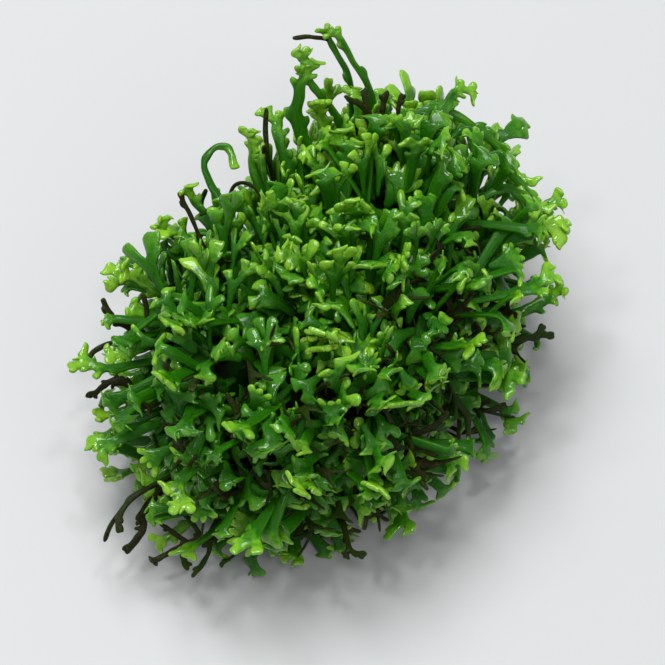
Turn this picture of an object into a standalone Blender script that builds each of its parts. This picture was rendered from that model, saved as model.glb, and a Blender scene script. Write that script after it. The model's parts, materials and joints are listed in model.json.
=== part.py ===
"""A loose clump of forked liverwort moss, as sold in small portions for planting in an aquarium.

The clump is a dense green cushion of packed fronds, pressed flat underneath. Flat forked
fronds stand clear of it, the tallest at its back edge, and a few of them are old and dark.
The origin is the middle of the flat underside. +Z is up, and -Y is the front.
"""

import math
import random
from collections import namedtuple

import bmesh
import bpy
import numpy as np
from mathutils import Matrix, Vector

MM = 0.001

# The cushion: an oval dome whose long side runs from front left to back right
CUSHION_LENGTH = 25.8 * MM
CUSHION_BREADTH = 17.6 * MM
LONG_SIDE_TURN = math.radians(50)
HEART = Vector((0.0, 0.0, 6.4 * MM))  # level of the widest section
RISE_ABOVE_HEART = 8.6 * MM
DROP_BELOW_HEART = 7.3 * MM
DOME_SQUARENESS = 2.25  # 2 is an ellipsoid
SPHERE_SUBDIVISIONS = 5

# Lobes: the blunt heads of the packed fronds, which the cushion's surface is made of
LOBE_COUNT = 250
LOBE_RISE = 1.5 * MM
LOBE_HALF_LENGTH = 2.2 * MM
LOBE_HALF_BREADTH = 1.3 * MM
LOBE_NUDGE = 0.05
LOBE_SEED = 5

# Fronds: each is a strip that forks into two children, of which the leaning one is the longer
FROND_HALF_WIDTH = 0.48 * MM
FROND_THICKNESS = 0.40 * MM
STEPS_PER_STRIP = 2
FORK_ANGLE = math.radians(33)
FORK_SPREAD = math.radians(6)
FORK_SHARE = 1.35  # width where a strip forks, of its own width
TIP_SHARE = 0.75
CROTCH_SHARE = 0.2
WIDTH_SHARES = (0.95, 1.05)
SWAY = 0.2
CHILD_WIDTH_SHARE = 0.95
LEANING_LENGTHS = (0.85, 1.05)  # of the parent strip's length
OTHER_LENGTHS = (0.6, 0.8)
FORK_LENGTH = 0.8  # what each fork adds to a frond's length, in lengths of its first strip
FOOT_DEPTH = 0.8 * MM  # how far the foot starts inside the smooth dome
LEAST_RISE_SHARE = 0.6  # of a frond's heading that is taken to lead out of the cushion
FLOOR_CLEARANCE = 0.5 * MM
FROND_CLEARANCE = 0.5 * MM  # between a frond and the cushion, measured from the heart

# Short fronds spread over the whole cushion, between the placed ones. Angles are in degrees
SPREAD_TRIES = 61
SPREAD_LOWEST = -0.38  # height of the lowest foot's direction, as a sine
SPREAD_NUDGE = 0.1
FOOT_SPACING = 3.1 * MM
SPREAD_TURN = (-25, 25)
SPREAD_LIFT = (-22, 14)
LOWEST_HEADING = -4
SPREAD_LENGTH = (1.4, 2.4)
SPREAD_BEND = (5, 30)
SPREAD_TWIST = (-40, 40)
SPREAD_FORKS = (1, 1, 2)
SPREAD_SEED = 20

# A bulge of the cushion: the way it lies from the heart, its half angle and its rise, which is
# below zero for a hollow
Bulge = namedtuple("Bulge", "azimuth elevation spread rise")
BULGES = (
    Bulge(56, 28, 26, 1.6),  # shoulder at the back right
    Bulge(8, 20, 20, 0.3),  # right side
    Bulge(-133, 6, 24, 1.1),  # front left corner
    Bulge(178, 14, 24, 1.5),  # left side
    Bulge(-80, 12, 30, 1.2),  # front
    Bulge(100, 62, 24, 0.7),  # crown
    Bulge(130, 25, 22, -0.9),  # hollow at the back left
    Bulge(-35, 20, 26, -0.8),  # hollow at the front right
    Bulge(-164, 53, 9, -2.2),  # gaps between the tufts, where the clump is dark
    Bulge(158, 48, 8, -1.9),
    Bulge(-122, 47, 9, -2.2),
    Bulge(-60, 56, 8, -2.0),
    Bulge(-42, 3, 11, -1.8),
    Bulge(22, 38, 9, -2.2),
    Bulge(-127, 22, 9, -2.0),
    Bulge(-88, 16, 9, -2.2),
    Bulge(72, 6, 11, -2.0),
    Bulge(118, 10, 10, -1.8),
    Bulge(36, 68, 9, -2.0),
)

# A frond: where its foot is and where it heads, both as azimuth and elevation in degrees,
# its length clear of the cushion in mm, its bend over its flat side and its twist in degrees,
# and how often it forks
Frond = namedtuple("Frond", "name foot heading length bend twist forks seed")
FRONDS = (
    # the tall ones at the back edge
    Frond("tall_frond_01", (80, 34), (114, 56), 5.6, 12, 10, 2, 3),
    Frond("tall_frond_02", (104, 41), (90, 60), 5.0, -14, 80, 2, 8),
    Frond("tall_frond_03", (93, 28), (98, 44), 3.6, 22, 30, 2, 11),
    Frond("tall_frond_04", (148, 38), (140, 44), 5.2, 180, 70, 1, 5),
    # the shoulder at the back right, where they arch over
    Frond("frond_01", (62, 36), (70, 66), 4.0, -65, 0, 2, 14),
    Frond("frond_02", (46, 30), (50, 58), 4.2, -70, 12, 2, 19),
    Frond("frond_03", (32, 38), (30, 64), 3.8, -65, -10, 2, 23),
    # the right side
    Frond("frond_04", (20, 22), (28, 26), 2.6, -20, 25, 2, 29),
    Frond("frond_05", (3, 24), (4, 14), 3.0, -14, -15, 2, 31),
    # the left side
    Frond("frond_06", (153, 26), (158, 34), 2.0, -40, 35, 1, 41),
    Frond("frond_07", (171, 16), (172, 22), 1.8, -16, -30, 1, 43),
    Frond("frond_08", (-165, 12), (-163, 10), 2.6, 10, 12, 2, 47),
    Frond("frond_09", (-147, 8), (-150, 8), 2.0, -30, -18, 1, 53),
    # the front
    Frond("frond_10", (-128, 14), (-126, 6), 2.2, -20, 0, 2, 59),
    Frond("frond_11", (-106, 8), (-112, 4), 2.4, 12, 14, 1, 61),
)
OLD_FRONDS = (
    Frond("old_frond_01", (117, 36), (116, 62), 4.3, 10, 60, 1, 139),
    Frond("old_frond_02", (72, 42), (96, 66), 3.3, -24, 40, 1, 149),
    Frond("old_frond_03", (143, 14), (139, 36), 2.8, 62, 50, 1, 151),
    Frond("old_frond_04", (-176, 0), (172, 8), 2.8, -75, 60, 1, 157),
    Frond("old_frond_05", (-137, -4), (-148, 4), 3.4, -55, 50, 1, 163),
    Frond("old_frond_06", (-88, -6), (-80, 0), 2.0, 14, 18, 1, 167),
    Frond("old_frond_07", (-4, 2), (4, 8), 2.2, -40, 60, 1, 173),
)

GREEN = (0.045, 0.20, 0.012, 1.0)
FRESH_GREEN = (0.10, 0.32, 0.015, 1.0)
DARK_BROWN = (0.022, 0.024, 0.008, 1.0)


def clear_scene():
    for old in list(bpy.data.objects):
        bpy.data.objects.remove(old)


def new_collection(name):
    collection = bpy.data.collections.new(name)
    bpy.context.scene.collection.children.link(collection)
    return collection


def new_material(name, colour, roughness):
    material = bpy.data.materials.new(name)
    material.use_nodes = True
    shader = material.node_tree.nodes["Principled BSDF"]
    shader.inputs["Base Color"].default_value = colour
    shader.inputs["Roughness"].default_value = roughness
    shader.inputs["Metallic"].default_value = 0.0
    return material


def direction(azimuth, elevation):
    """Unit vector from angles in degrees: azimuth 0 is +X, 90 is +Y and -90 the front."""
    turn, lift = math.radians(azimuth), math.radians(elevation)
    return Vector((math.cos(lift) * math.cos(turn), math.cos(lift) * math.sin(turn), math.sin(lift)))


def unit(rows):
    return rows / np.linalg.norm(rows, axis=1, keepdims=True)


def dome_reach(ways):
    """Distance from the heart to the smooth dome along each unit vector, before the lobes."""
    c, s = math.cos(LONG_SIDE_TURN), math.sin(LONG_SIDE_TURN)
    along = (ways[:, 0] * c + ways[:, 1] * s) / (CUSHION_LENGTH / 2)
    across = (ways[:, 1] * c - ways[:, 0] * s) / (CUSHION_BREADTH / 2)
    height = np.where(ways[:, 2] > 0, RISE_ABOVE_HEART, DROP_BELOW_HEART)
    upward = ways[:, 2] / height
    power = DOME_SQUARENESS
    total = (along**2 + across**2) ** (power / 2) + np.abs(upward) ** power
    reach = total ** (-1 / power)
    for bulge in BULGES:
        towards = np.array(direction(bulge.azimuth, bulge.elevation))
        angle = np.arccos(np.clip(ways @ towards, -1, 1))
        reach = reach + bulge.rise * MM * np.exp(-((angle / math.radians(bulge.spread)) ** 2))
    return reach


def golden_spiral(count, lowest=-1.0):
    """Unit vectors spread evenly from straight up down to the height lowest."""
    index = np.arange(count) + 0.5
    height = 1 - (1 - lowest) * index / count
    turn = index * math.pi * (3 - math.sqrt(5))
    flat = np.sqrt(1 - height**2)
    return np.stack([flat * np.cos(turn), flat * np.sin(turn), height], axis=1)


def lobe_rise(ways):
    """How far the lobes stand above the dome along each unit vector.

    Their middles are spread evenly round the heart, each nudged a little, and each lobe is an
    oval head that lies its own way.
    """
    rng = np.random.default_rng(LOBE_SEED)
    spiral = golden_spiral(LOBE_COUNT)
    middles = unit(spiral + rng.normal(0, LOBE_NUDGE, spiral.shape))
    lengthways = unit(np.cross(middles, rng.normal(0, 1, spiral.shape)))
    sideways = np.cross(middles, lengthways)
    size = rng.uniform(0.65, 1.0, LOBE_COUNT)
    reach = dome_reach(middles)
    along = (ways @ lengthways.T) * reach / (LOBE_HALF_LENGTH * size)
    across = (ways @ sideways.T) * reach / (LOBE_HALF_BREADTH * size)
    inside = np.where(ways @ middles.T > 0, 1 - along**2 - across**2, 0)
    return LOBE_RISE * (np.sqrt(np.clip(inside, 0, 1)) * size).max(axis=1)


def cushion_mesh(name, growth):
    """The cushion's closed surface, made larger by growth from the heart."""
    bm = bmesh.new()
    bmesh.ops.create_icosphere(bm, subdivisions=SPHERE_SUBDIVISIONS, radius=1.0)
    ways = unit(np.array([v.co for v in bm.verts]))
    reach = dome_reach(ways) + lobe_rise(ways) + growth
    for vert, way, far in zip(bm.verts, ways, reach):
        vert.co = HEART + Vector(way) * far
    mesh = bpy.data.meshes.new(name)
    bm.to_mesh(mesh)
    bm.free()
    return mesh


def floor_mesh(name):
    """A block whose top is the floor, larger than the cushion."""
    bm = bmesh.new()
    bmesh.ops.create_cube(bm, size=2 * CUSHION_LENGTH)
    bmesh.ops.translate(bm, verts=bm.verts, vec=(0, 0, -CUSHION_LENGTH))
    mesh = bpy.data.meshes.new(name)
    bm.to_mesh(mesh)
    bm.free()
    return mesh


def new_object(name, mesh, collection, material=None):
    thing = bpy.data.objects.new(name, mesh)
    collection.objects.link(thing)
    if material:
        mesh.materials.clear()
        mesh.materials.append(material)
    return thing


def new_cutter(name, mesh, collection):
    cutter = new_object(name, mesh, collection)
    cutter.hide_render = True
    cutter.display_type = "WIRE"
    return cutter


def cut_away(thing, cutter):
    cut = thing.modifiers.new("clearance", "BOOLEAN")
    cut.operation = "DIFFERENCE"
    cut.object = cutter


def turned(vector, axis, angle):
    return (Matrix.Rotation(angle, 3, axis) @ vector).normalized()


def advance(place, heading, across, length, bend, sway):
    """The sections of one strip after its start: where each is, its heading and its width's way."""
    sections = []
    for _ in range(STEPS_PER_STRIP):
        face = heading.cross(across)
        heading = turned(heading, across, bend / STEPS_PER_STRIP)
        heading = turned(heading, face, sway / STEPS_PER_STRIP)
        across = (across - heading * across.dot(heading)).normalized()
        place = place + heading * (length / STEPS_PER_STRIP)
        place.z = max(place.z, FLOOR_CLEARANCE)
        sections.append((place.copy(), heading.copy(), across.copy()))
    return sections


def grow_strip(bm, rng, corners, place, heading, across, half_width, length, bend, forks):
    """Grows one strip of a frond from two corners, then its two children or its blunt tip."""
    sections = advance(place, heading, across, length, bend, rng.uniform(-SWAY, SWAY))
    left, right = corners
    for number, (middle, ahead, wide) in enumerate(sections):
        share = rng.uniform(*WIDTH_SHARES)
        if number == len(sections) - 1:
            share *= FORK_SHARE if forks else TIP_SHARE
        next_left = bm.verts.new(middle - wide * half_width * share)
        next_right = bm.verts.new(middle + wide * half_width * share)
        outline = [left, right, next_right, next_left]
        if forks and number == len(sections) - 1:
            crotch = bm.verts.new(middle + ahead * half_width * CROTCH_SHARE)
            outline.insert(3, crotch)
        bm.faces.new(outline)
        left, right = next_left, next_right
    if forks == 0:
        return
    place, heading, across = sections[-1]
    face = heading.cross(across)
    leaning = rng.choice((-1, 1))
    for side, child_corners in ((-1, (left, crotch)), (1, (crotch, right))):
        angle = side * (FORK_ANGLE + rng.uniform(-1, 1) * FORK_SPREAD)
        child_heading = turned(heading, face, angle)
        child_across = (across - child_heading * across.dot(child_heading)).normalized()
        child_half = half_width * CHILD_WIDTH_SHARE
        child_length = length * rng.uniform(*(LEANING_LENGTHS if side == leaning else OTHER_LENGTHS))
        child_forks = forks - 1 if side == leaning or forks > 2 else 0
        start = place + across * side * half_width * FORK_SHARE / 2
        grow_strip(
            bm, rng, child_corners, start, child_heading, child_across,
            child_half, child_length, bend, child_forks,
        )


def on_dome(way, depth=0.0):
    """The point of the smooth dome that lies this way from the heart, or this deep inside it."""
    return HEART + way * (float(dome_reach(np.array([way]))[0]) - depth)


def spread_fronds():
    """Short fronds on a golden spiral over the cushion, left out where a placed one stands."""
    rng = random.Random(SPREAD_SEED)
    feet = [on_dome(direction(*frond.foot)) for frond in FRONDS + OLD_FRONDS]
    found = []
    for way in golden_spiral(SPREAD_TRIES, SPREAD_LOWEST):
        nudge = Vector(rng.uniform(-SPREAD_NUDGE, SPREAD_NUDGE) for _ in range(3))
        way = (Vector(way) + nudge).normalized()
        azimuth = math.degrees(math.atan2(way.y, way.x))
        elevation = math.degrees(math.asin(way.z))
        turn = azimuth + rng.uniform(*SPREAD_TURN)
        lift = max(elevation + rng.uniform(*SPREAD_LIFT), LOWEST_HEADING)
        length = rng.uniform(*SPREAD_LENGTH)
        bend = rng.uniform(*SPREAD_BEND)
        twist = rng.uniform(*SPREAD_TWIST)
        forks = rng.choice(SPREAD_FORKS)
        seed = rng.randrange(1000)
        spot = on_dome(way)
        if min((spot - other).length for other in feet) < FOOT_SPACING:
            continue
        feet.append(spot)
        name = f"short_frond_{len(found) + 1:02d}"
        found.append(Frond(name, (azimuth, elevation), (turn, lift), length, bend, twist, forks, seed))
    return found


def ribbon_mesh(frond):
    """The open flat ribbon of a forked frond, from its foot inside the cushion to its tips."""
    rng = random.Random(frond.seed)
    way = direction(*frond.foot)
    heading = direction(*frond.heading)
    foot = on_dome(way, FOOT_DEPTH)
    level = heading.cross(Vector((0, 0, 1))).normalized()
    across = turned(level, heading, math.radians(frond.twist))
    inside = (FOOT_DEPTH + LOBE_RISE) / max(way.dot(heading), LEAST_RISE_SHARE)
    surface = foot + heading * inside
    length = frond.length * MM / (1 + FORK_LENGTH * frond.forks)
    bend = math.radians(frond.bend) / (1 + frond.forks)
    bm = bmesh.new()
    sides = [across * side * FROND_HALF_WIDTH for side in (-1, 1)]
    start = [bm.verts.new(foot + side) for side in sides]
    corners = [bm.verts.new(surface + side) for side in sides]
    bm.faces.new((*start, *reversed(corners)))
    grow_strip(bm, rng, corners, surface, heading, across, FROND_HALF_WIDTH, length, bend, frond.forks)
    bmesh.ops.recalc_face_normals(bm, faces=bm.faces)
    mesh = bpy.data.meshes.new(frond.name)
    bm.to_mesh(mesh)
    bm.free()
    return mesh


def keep_largest_piece(mesh):
    """Removes the scraps that the cut leaves where a frond dips back between the lobes."""
    bm = bmesh.new()
    bm.from_mesh(mesh)
    left = set(bm.verts)
    pieces = []
    while left:
        found = {left.pop()}
        edge_of = list(found)
        while edge_of:
            beyond = [e.other_vert(v) for v in edge_of for e in v.link_edges]
            edge_of = [v for v in dict.fromkeys(beyond) if v in left]
            left.difference_update(edge_of)
            found.update(edge_of)
        pieces.append(found)
    largest = max(pieces, key=lambda found: (len(found), sum(v.co.z for v in found)))
    scraps = [v for found in pieces if found is not largest for v in found]
    bmesh.ops.delete(bm, geom=scraps, context="VERTS")
    bm.to_mesh(mesh)
    bm.free()


def build_frond(frond, collection, cutter, material):
    """One frond as a solid, cut clear of the cushion that it grows from."""
    rough = new_object(frond.name + "_rough", ribbon_mesh(frond), collection)
    thick = rough.modifiers.new("thickness", "SOLIDIFY")
    thick.thickness = FROND_THICKNESS
    thick.offset = 0.0
    cut_away(rough, cutter)
    bpy.context.view_layer.update()
    evaluated = rough.evaluated_get(bpy.context.evaluated_depsgraph_get())
    mesh = bpy.data.meshes.new_from_object(evaluated)
    bpy.data.objects.remove(rough)
    keep_largest_piece(mesh)
    mesh.name = frond.name
    return new_object(frond.name, mesh, collection, material)


def main():
    clear_scene()
    parts = new_collection("moss_clump")
    cutters = new_collection("cutters")
    green = new_material("moss_green", GREEN, 0.45)
    fresh = new_material("frond_green", FRESH_GREEN, 0.4)
    dark = new_material("frond_brown", DARK_BROWN, 0.6)

    cushion = new_object("moss_cushion", cushion_mesh("moss_cushion", 0.0), parts, green)
    cut_away(cushion, new_cutter("floor", floor_mesh("floor"), cutters))

    clearance = new_cutter("cushion_room", cushion_mesh("cushion_room", FROND_CLEARANCE), cutters)
    for frond in (*FRONDS, *spread_fronds()):
        build_frond(frond, parts, clearance, fresh)
    for frond in OLD_FRONDS:
        build_frond(frond, parts, clearance, dark)


main()
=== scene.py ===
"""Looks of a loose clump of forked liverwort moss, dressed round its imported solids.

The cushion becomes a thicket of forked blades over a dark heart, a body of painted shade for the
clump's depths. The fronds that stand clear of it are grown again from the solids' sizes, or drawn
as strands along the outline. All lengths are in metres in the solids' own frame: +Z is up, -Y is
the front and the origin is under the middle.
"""

import json
import math
import random
from collections import namedtuple

import bmesh
import bpy
import numpy as np
from mathutils import Matrix, Vector

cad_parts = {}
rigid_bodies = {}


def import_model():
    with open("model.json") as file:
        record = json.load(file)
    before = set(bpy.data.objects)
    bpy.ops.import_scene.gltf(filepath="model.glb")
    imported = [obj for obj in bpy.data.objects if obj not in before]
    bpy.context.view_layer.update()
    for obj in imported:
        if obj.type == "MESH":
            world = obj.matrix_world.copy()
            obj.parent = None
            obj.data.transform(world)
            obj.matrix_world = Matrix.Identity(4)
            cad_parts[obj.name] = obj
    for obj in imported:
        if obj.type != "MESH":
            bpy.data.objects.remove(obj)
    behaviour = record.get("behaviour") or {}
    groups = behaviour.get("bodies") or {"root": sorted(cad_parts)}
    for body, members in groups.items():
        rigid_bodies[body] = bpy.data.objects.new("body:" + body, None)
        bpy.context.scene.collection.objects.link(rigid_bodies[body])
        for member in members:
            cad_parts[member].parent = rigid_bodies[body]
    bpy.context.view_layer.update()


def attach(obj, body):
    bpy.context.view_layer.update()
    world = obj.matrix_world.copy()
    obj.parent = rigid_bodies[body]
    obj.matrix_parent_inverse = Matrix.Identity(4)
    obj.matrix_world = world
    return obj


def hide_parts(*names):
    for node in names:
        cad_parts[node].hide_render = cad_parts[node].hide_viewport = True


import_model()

MM = 0.001

# The smooth dome of the cushion
CUSHION_LENGTH = 25.8 * MM
CUSHION_BREADTH = 17.6 * MM
LONG_SIDE_TURN = math.radians(50)
HEART = Vector((0.0, 0.0, 6.4 * MM))
RISE_ABOVE_HEART = 8.6 * MM
DROP_BELOW_HEART = 7.3 * MM
DOME_SQUARENESS = 2.25
LOBE_RISE = 1.5 * MM
HOLLOW_BELOW = -1.5  # a bulge that rises less than this is a dark gap between the tufts

# How a frond forks. Widths are shares of a strip's half width, lengths of its parent's length
Habit = namedtuple("Habit", "angle spread fork_width crotch tip_widths child_width leaning others")
CLEAR_HABIT = Habit(28, 6, 1.4, (0.6, 1.0), (0.85, 1.15), 0.95, (0.85, 1.05), (0.6, 0.8))
ANTLER_HABIT = Habit(23, 7, 1.55, (0.5, 1.0), (0.95, 1.35), 0.95, (0.6, 0.9), (0.4, 0.7))
ROUND_HABIT = Habit(24, 8, 1.55, (0.2, 0.5), (1.05, 1.35), 0.95, (0.26, 0.46), (0.2, 0.36))
FAN_HABIT = Habit(25, 7, 1.8, (0.6, 1.0), (1.05, 1.35), 0.95, (0.35, 0.52), (0.28, 0.45))
STRAP_HABIT = Habit(20, 6, 1.45, (0.3, 0.6), (1.0, 1.3), 0.8, (0.25, 0.4), (0.2, 0.3))
SLIM_HABIT = Habit(18, 6, 1.5, (0.4, 0.8), (1.1, 1.5), 1.0, (0.4, 0.65), (0.3, 0.5))
TALL_HABIT = Habit(22, 6, 1.4, (0.5, 1.0), (1.0, 1.5), 0.95, (0.85, 1.05), (0.5, 0.7))
TWIG_HABIT = Habit(34, 12, 1.2, (0.2, 0.5), (0.8, 1.4), 0.85, (0.6, 1.0), (0.4, 0.8))
OLD_HABIT = Habit(30, 10, 1.2, (0.2, 0.5), (0.7, 1.1), 0.85, (0.85, 1.05), (0.4, 0.7))

# Fronds that stand clear of the cushion, as the solids have them
CLEAR_HALF_WIDTH = 0.38 * MM
TALL_HALF_WIDTH = 0.27 * MM
OLD_HALF_WIDTH = 0.22 * MM
STEPS_PER_STRIP = 2
WIDTH_SHARES = (0.95, 1.05)
SWAY = 0.2
FORK_LENGTH = 0.8
FOOT_DEPTH = 0.8 * MM
LEAST_RISE_SHARE = 0.6
FLOOR_CLEARANCE = 0.5 * MM

# The short ones among them, spread over the whole cushion
SPREAD_TRIES = 61
SPREAD_LOWEST = -0.38
SPREAD_NUDGE = 0.1
FOOT_SPACING = 3.1 * MM
SPREAD_TURN = (-25, 25)
SPREAD_LIFT = (-22, 14)
LOWEST_HEADING = -4
SPREAD_LENGTH = (1.4, 2.4)
SPREAD_BEND = (5, 30)
SPREAD_TWIST = (-40, 40)
SPREAD_FORKS = (1, 1, 2)
SPREAD_SEED = 20

# Where the dome swells or sinks: the way from the heart and the spread in degrees, the rise in mm
Bulge = namedtuple("Bulge", "azimuth elevation spread rise")
BULGES = (
    Bulge(56, 28, 26, 1.6),
    Bulge(8, 20, 20, 0.3),
    Bulge(-133, 6, 24, 1.1),
    Bulge(178, 14, 24, 1.5),
    Bulge(-80, 12, 30, 1.2),
    Bulge(100, 62, 24, 0.7),
    Bulge(130, 25, 22, -0.9),
    Bulge(-35, 20, 26, -0.8),
    Bulge(-164, 53, 9, -2.2),  # gaps between the tufts, where the clump is dark
    Bulge(158, 48, 8, -1.9),
    Bulge(-122, 47, 9, -2.2),
    Bulge(-60, 56, 8, -2.0),
    Bulge(-42, 3, 11, -1.8),
    Bulge(22, 38, 9, -2.2),
    Bulge(-127, 22, 9, -2.0),
    Bulge(-88, 16, 9, -2.2),
    Bulge(72, 6, 11, -2.0),
    Bulge(118, 10, 10, -1.8),
    Bulge(36, 68, 9, -2.0),
)

# Foot and heading are an azimuth and an elevation in degrees, as are bend and twist. The length
# is in mm
Frond = namedtuple("Frond", "name foot heading length bend twist forks seed")
TALL_FRONDS = (
    Frond("tall_frond_01", (80, 34), (114, 56), 5.6, 12, 10, 2, 3),
    Frond("tall_frond_02", (104, 41), (90, 60), 5.0, -14, 80, 2, 8),
    Frond("tall_frond_03", (93, 28), (98, 44), 3.6, 22, 30, 2, 11),
    Frond("tall_frond_04", (148, 38), (140, 44), 5.2, 180, 70, 1, 5),
)
SHOULDER_FRONDS = (
    Frond("frond_01", (62, 36), (70, 66), 4.0, -65, 0, 2, 14),
    Frond("frond_02", (46, 30), (50, 58), 4.2, -70, 12, 2, 19),
    Frond("frond_03", (32, 38), (30, 64), 3.8, -65, -10, 2, 23),
)
SIDE_FRONDS = (
    Frond("frond_04", (20, 22), (28, 26), 2.6, -20, 25, 2, 29),
    Frond("frond_05", (3, 24), (4, 14), 3.0, -14, -15, 2, 31),
    Frond("frond_06", (153, 26), (158, 34), 2.0, -40, 35, 1, 41),
    Frond("frond_07", (171, 16), (172, 22), 1.8, -16, -30, 1, 43),
    Frond("frond_08", (-165, 12), (-163, 10), 2.6, 10, 12, 2, 47),
    Frond("frond_09", (-147, 8), (-150, 8), 2.0, -30, -18, 1, 53),
    Frond("frond_10", (-128, 14), (-126, 6), 2.2, -20, 0, 2, 59),
    Frond("frond_11", (-106, 8), (-112, 4), 2.4, 12, 14, 1, 61),
)
OLD_FRONDS = (
    Frond("old_frond_01", (117, 36), (116, 62), 4.3, 10, 60, 1, 139),
    Frond("old_frond_02", (72, 42), (96, 66), 3.3, -24, 40, 1, 149),
    Frond("old_frond_03", (143, 14), (139, 36), 2.8, 62, 50, 1, 151),
    Frond("old_frond_04", (-176, 0), (172, 8), 2.8, -75, 60, 1, 157),
    Frond("old_frond_05", (-137, -4), (-148, 4), 3.4, -55, 50, 1, 163),
    Frond("old_frond_06", (-88, -6), (-80, 0), 2.0, 14, 18, 1, 167),
    Frond("old_frond_07", (-4, 2), (4, 8), 2.2, -40, 60, 1, 173),
)

# Strands that follow a drawn line, mostly along the outline in the picture: the line's points
# as mm right and up from the middle of the picture and mm towards the eye, the half width in mm
# at the foot and at the tip, how often the tip forks and how long it is in mm, the tone from 0
# to 1, and the seed
Strand = namedtuple("Strand", "line foot_width tip_width forks tip_length tone seed")


def strands(*rows):
    return tuple(Strand(row[:-6], *row[-6:]) for row in rows)


TALL_STRANDS = strands(
    ((1.2, 12.2, 0.7), (1.1, 14.9, 2.4), (0.2, 16.6, 3.6), (-0.2, 17.4, 4.1), 0.26, 0.2, 1, 1.2, 0.5, 1),
    ((2.5, 12.3, 0.7), (2.2, 14.5, 2.2), (1.2, 16.1, 3.3), (0.5, 17.3, 4.2), 0.26, 0.22, 2, 1.3, 0.62, 2),
    ((-1.5, 10.8, 2.6), (-2.1, 12.6, 3.6), (-1.9, 14.4, 4.6), (-1.6, 15.3, 4.9),
     0.46, 0.34, 2, 1.5, 0.58, 3),
    ((0.7, 11.6, 2.4), (0.0, 13.2, 3.4), (-0.9, 14.2, 4.1), (-1.4, 15.0, 4.6), 0.32, 0.26, 1, 1.1, 0.5, 4),
    ((-6.5, 7.6, 2.0), (-7.5, 9.3, 2.0), (-7.6, 10.4, 2.0), (-6.9, 11.1, 2.0), (-6.2, 11.0, 2.1),
     (-6.0, 10.5, 2.2), 0.25, 0.28, 0, 0.8, 0.72, 5),
    ((-2.6, 9.6, 2.8), (-3.1, 11.2, 3.2), (-3.3, 12.2, 3.3), 0.36, 0.36, 2, 1.3, 0.7, 51),
    ((-0.6, 10.6, 2.4), (-0.5, 12.0, 2.9), (-0.7, 13.0, 3.2), 0.36, 0.36, 2, 1.3, 0.8, 52),
    ((0.8, 11.2, 1.8), (1.4, 12.6, 2.2), (1.6, 13.4, 2.4), 0.34, 0.34, 2, 1.2, 0.66, 53),
    ((-4.3, 8.6, 2.2), (-4.8, 10.0, 2.5), (-4.7, 10.9, 2.6), 0.34, 0.34, 2, 1.2, 0.6, 54),
)
SHOULDER_STRANDS = strands(
    ((4.6, 12.2, 1.0), (5.6, 13.4, 1.0), (7.4, 13.1, 0.6), (9.0, 12.0, 0.2), 0.34, 0.3, 2, 1.6, 0.82, 11),
    ((7.2, 11.6, 0.4), (8.4, 12.3, 0.4), (9.9, 11.2, 0.0), (10.9, 9.8, -0.2), 0.32, 0.3, 1, 1.5, 0.9, 12),
    ((8.4, 9.9, 0.4), (9.6, 10.6, 0.3), (11.0, 9.3, 0.0), (12.0, 8.0, 0.0), 0.32, 0.3, 1, 1.3, 0.88, 13),
    ((6.2, 12.0, 1.4), (6.9, 13.9, 1.4), (7.4, 14.4, 1.2), 0.34, 0.32, 2, 1.2, 0.78, 14),
    ((9.2, 8.2, 1.0), (10.6, 8.6, 0.8), (12.0, 7.4, 0.5), (12.9, 6.6, 0.4), 0.34, 0.32, 2, 1.4, 0.94, 15),
)
RIM_STRANDS = strands(
    ((10.4, 6.0, 0.2), (11.6, 7.0, 0.0), (13.0, 7.7, -0.2), 0.34, 0.36, 1, 1.1, 0.96, 21),
    ((11.2, 1.2, -0.6), (12.4, 1.8, -0.8), (13.2, 2.2, -0.8), 0.34, 0.4, 1, 1.1, 0.94, 22),
    ((9.0, 4.2, 0.4), (10.6, 5.3, 0.2), (11.9, 5.9, 0.0), 0.34, 0.36, 2, 1.1, 0.9, 23),
    ((-11.0, -5.0, 1.8), (-12.4, -5.6, 1.8), (-13.4, -6.1, 1.8), 0.3, 0.34, 1, 1.1, 0.97, 24),
    ((-10.8, -4.2, 1.8), (-12.2, -4.6, 1.8), (-13.2, -4.9, 1.8), 0.3, 0.3, 1, 1.1, 0.93, 25),
    ((-7.2, -10.2, 2.4), (-8.6, -11.4, 2.5), (-9.7, -12.1, 2.5), 0.3, 0.28, 1, 1.2, 0.8, 26),
    ((-10.4, 2.5, 1.5), (-11.5, 3.2, 1.6), 0.32, 0.38, 2, 1.1, 0.8, 27),
    ((-10.8, -0.7, 1.9), (-12.2, -1.2, 2.0), 0.34, 0.42, 2, 1.2, 0.92, 28),
    ((-10.6, -2.2, 1.8), (-11.7, -2.5, 1.9), 0.32, 0.4, 1, 1.1, 0.7, 29),
    ((-10.2, -3.6, 2.3), (-11.4, -3.9, 2.4), 0.34, 0.42, 2, 1.2, 0.95, 42),
    ((-10.0, -6.4, 2.1), (-11.1, -7.2, 2.2), 0.34, 0.42, 2, 1.2, 0.88, 43),
    ((-9.4, -7.8, 2.3), (-10.4, -8.6, 2.4), 0.32, 0.4, 1, 1.1, 0.97, 44),
    ((-8.6, -9.0, 2.5), (-9.6, -9.8, 2.6), 0.34, 0.42, 2, 1.1, 0.84, 45),
    ((-10.2, 0.8, 1.9), (-11.3, 1.2, 2.0), 0.3, 0.36, 1, 1.0, 0.76, 46),
    ((-8.9, 5.0, 1.6), (-9.9, 5.9, 1.7), 0.3, 0.36, 2, 1.0, 0.72, 47),
    ((-7.6, 7.0, 1.7), (-8.3, 8.0, 1.8), 0.28, 0.32, 1, 1.0, 0.78, 48),
)
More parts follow.
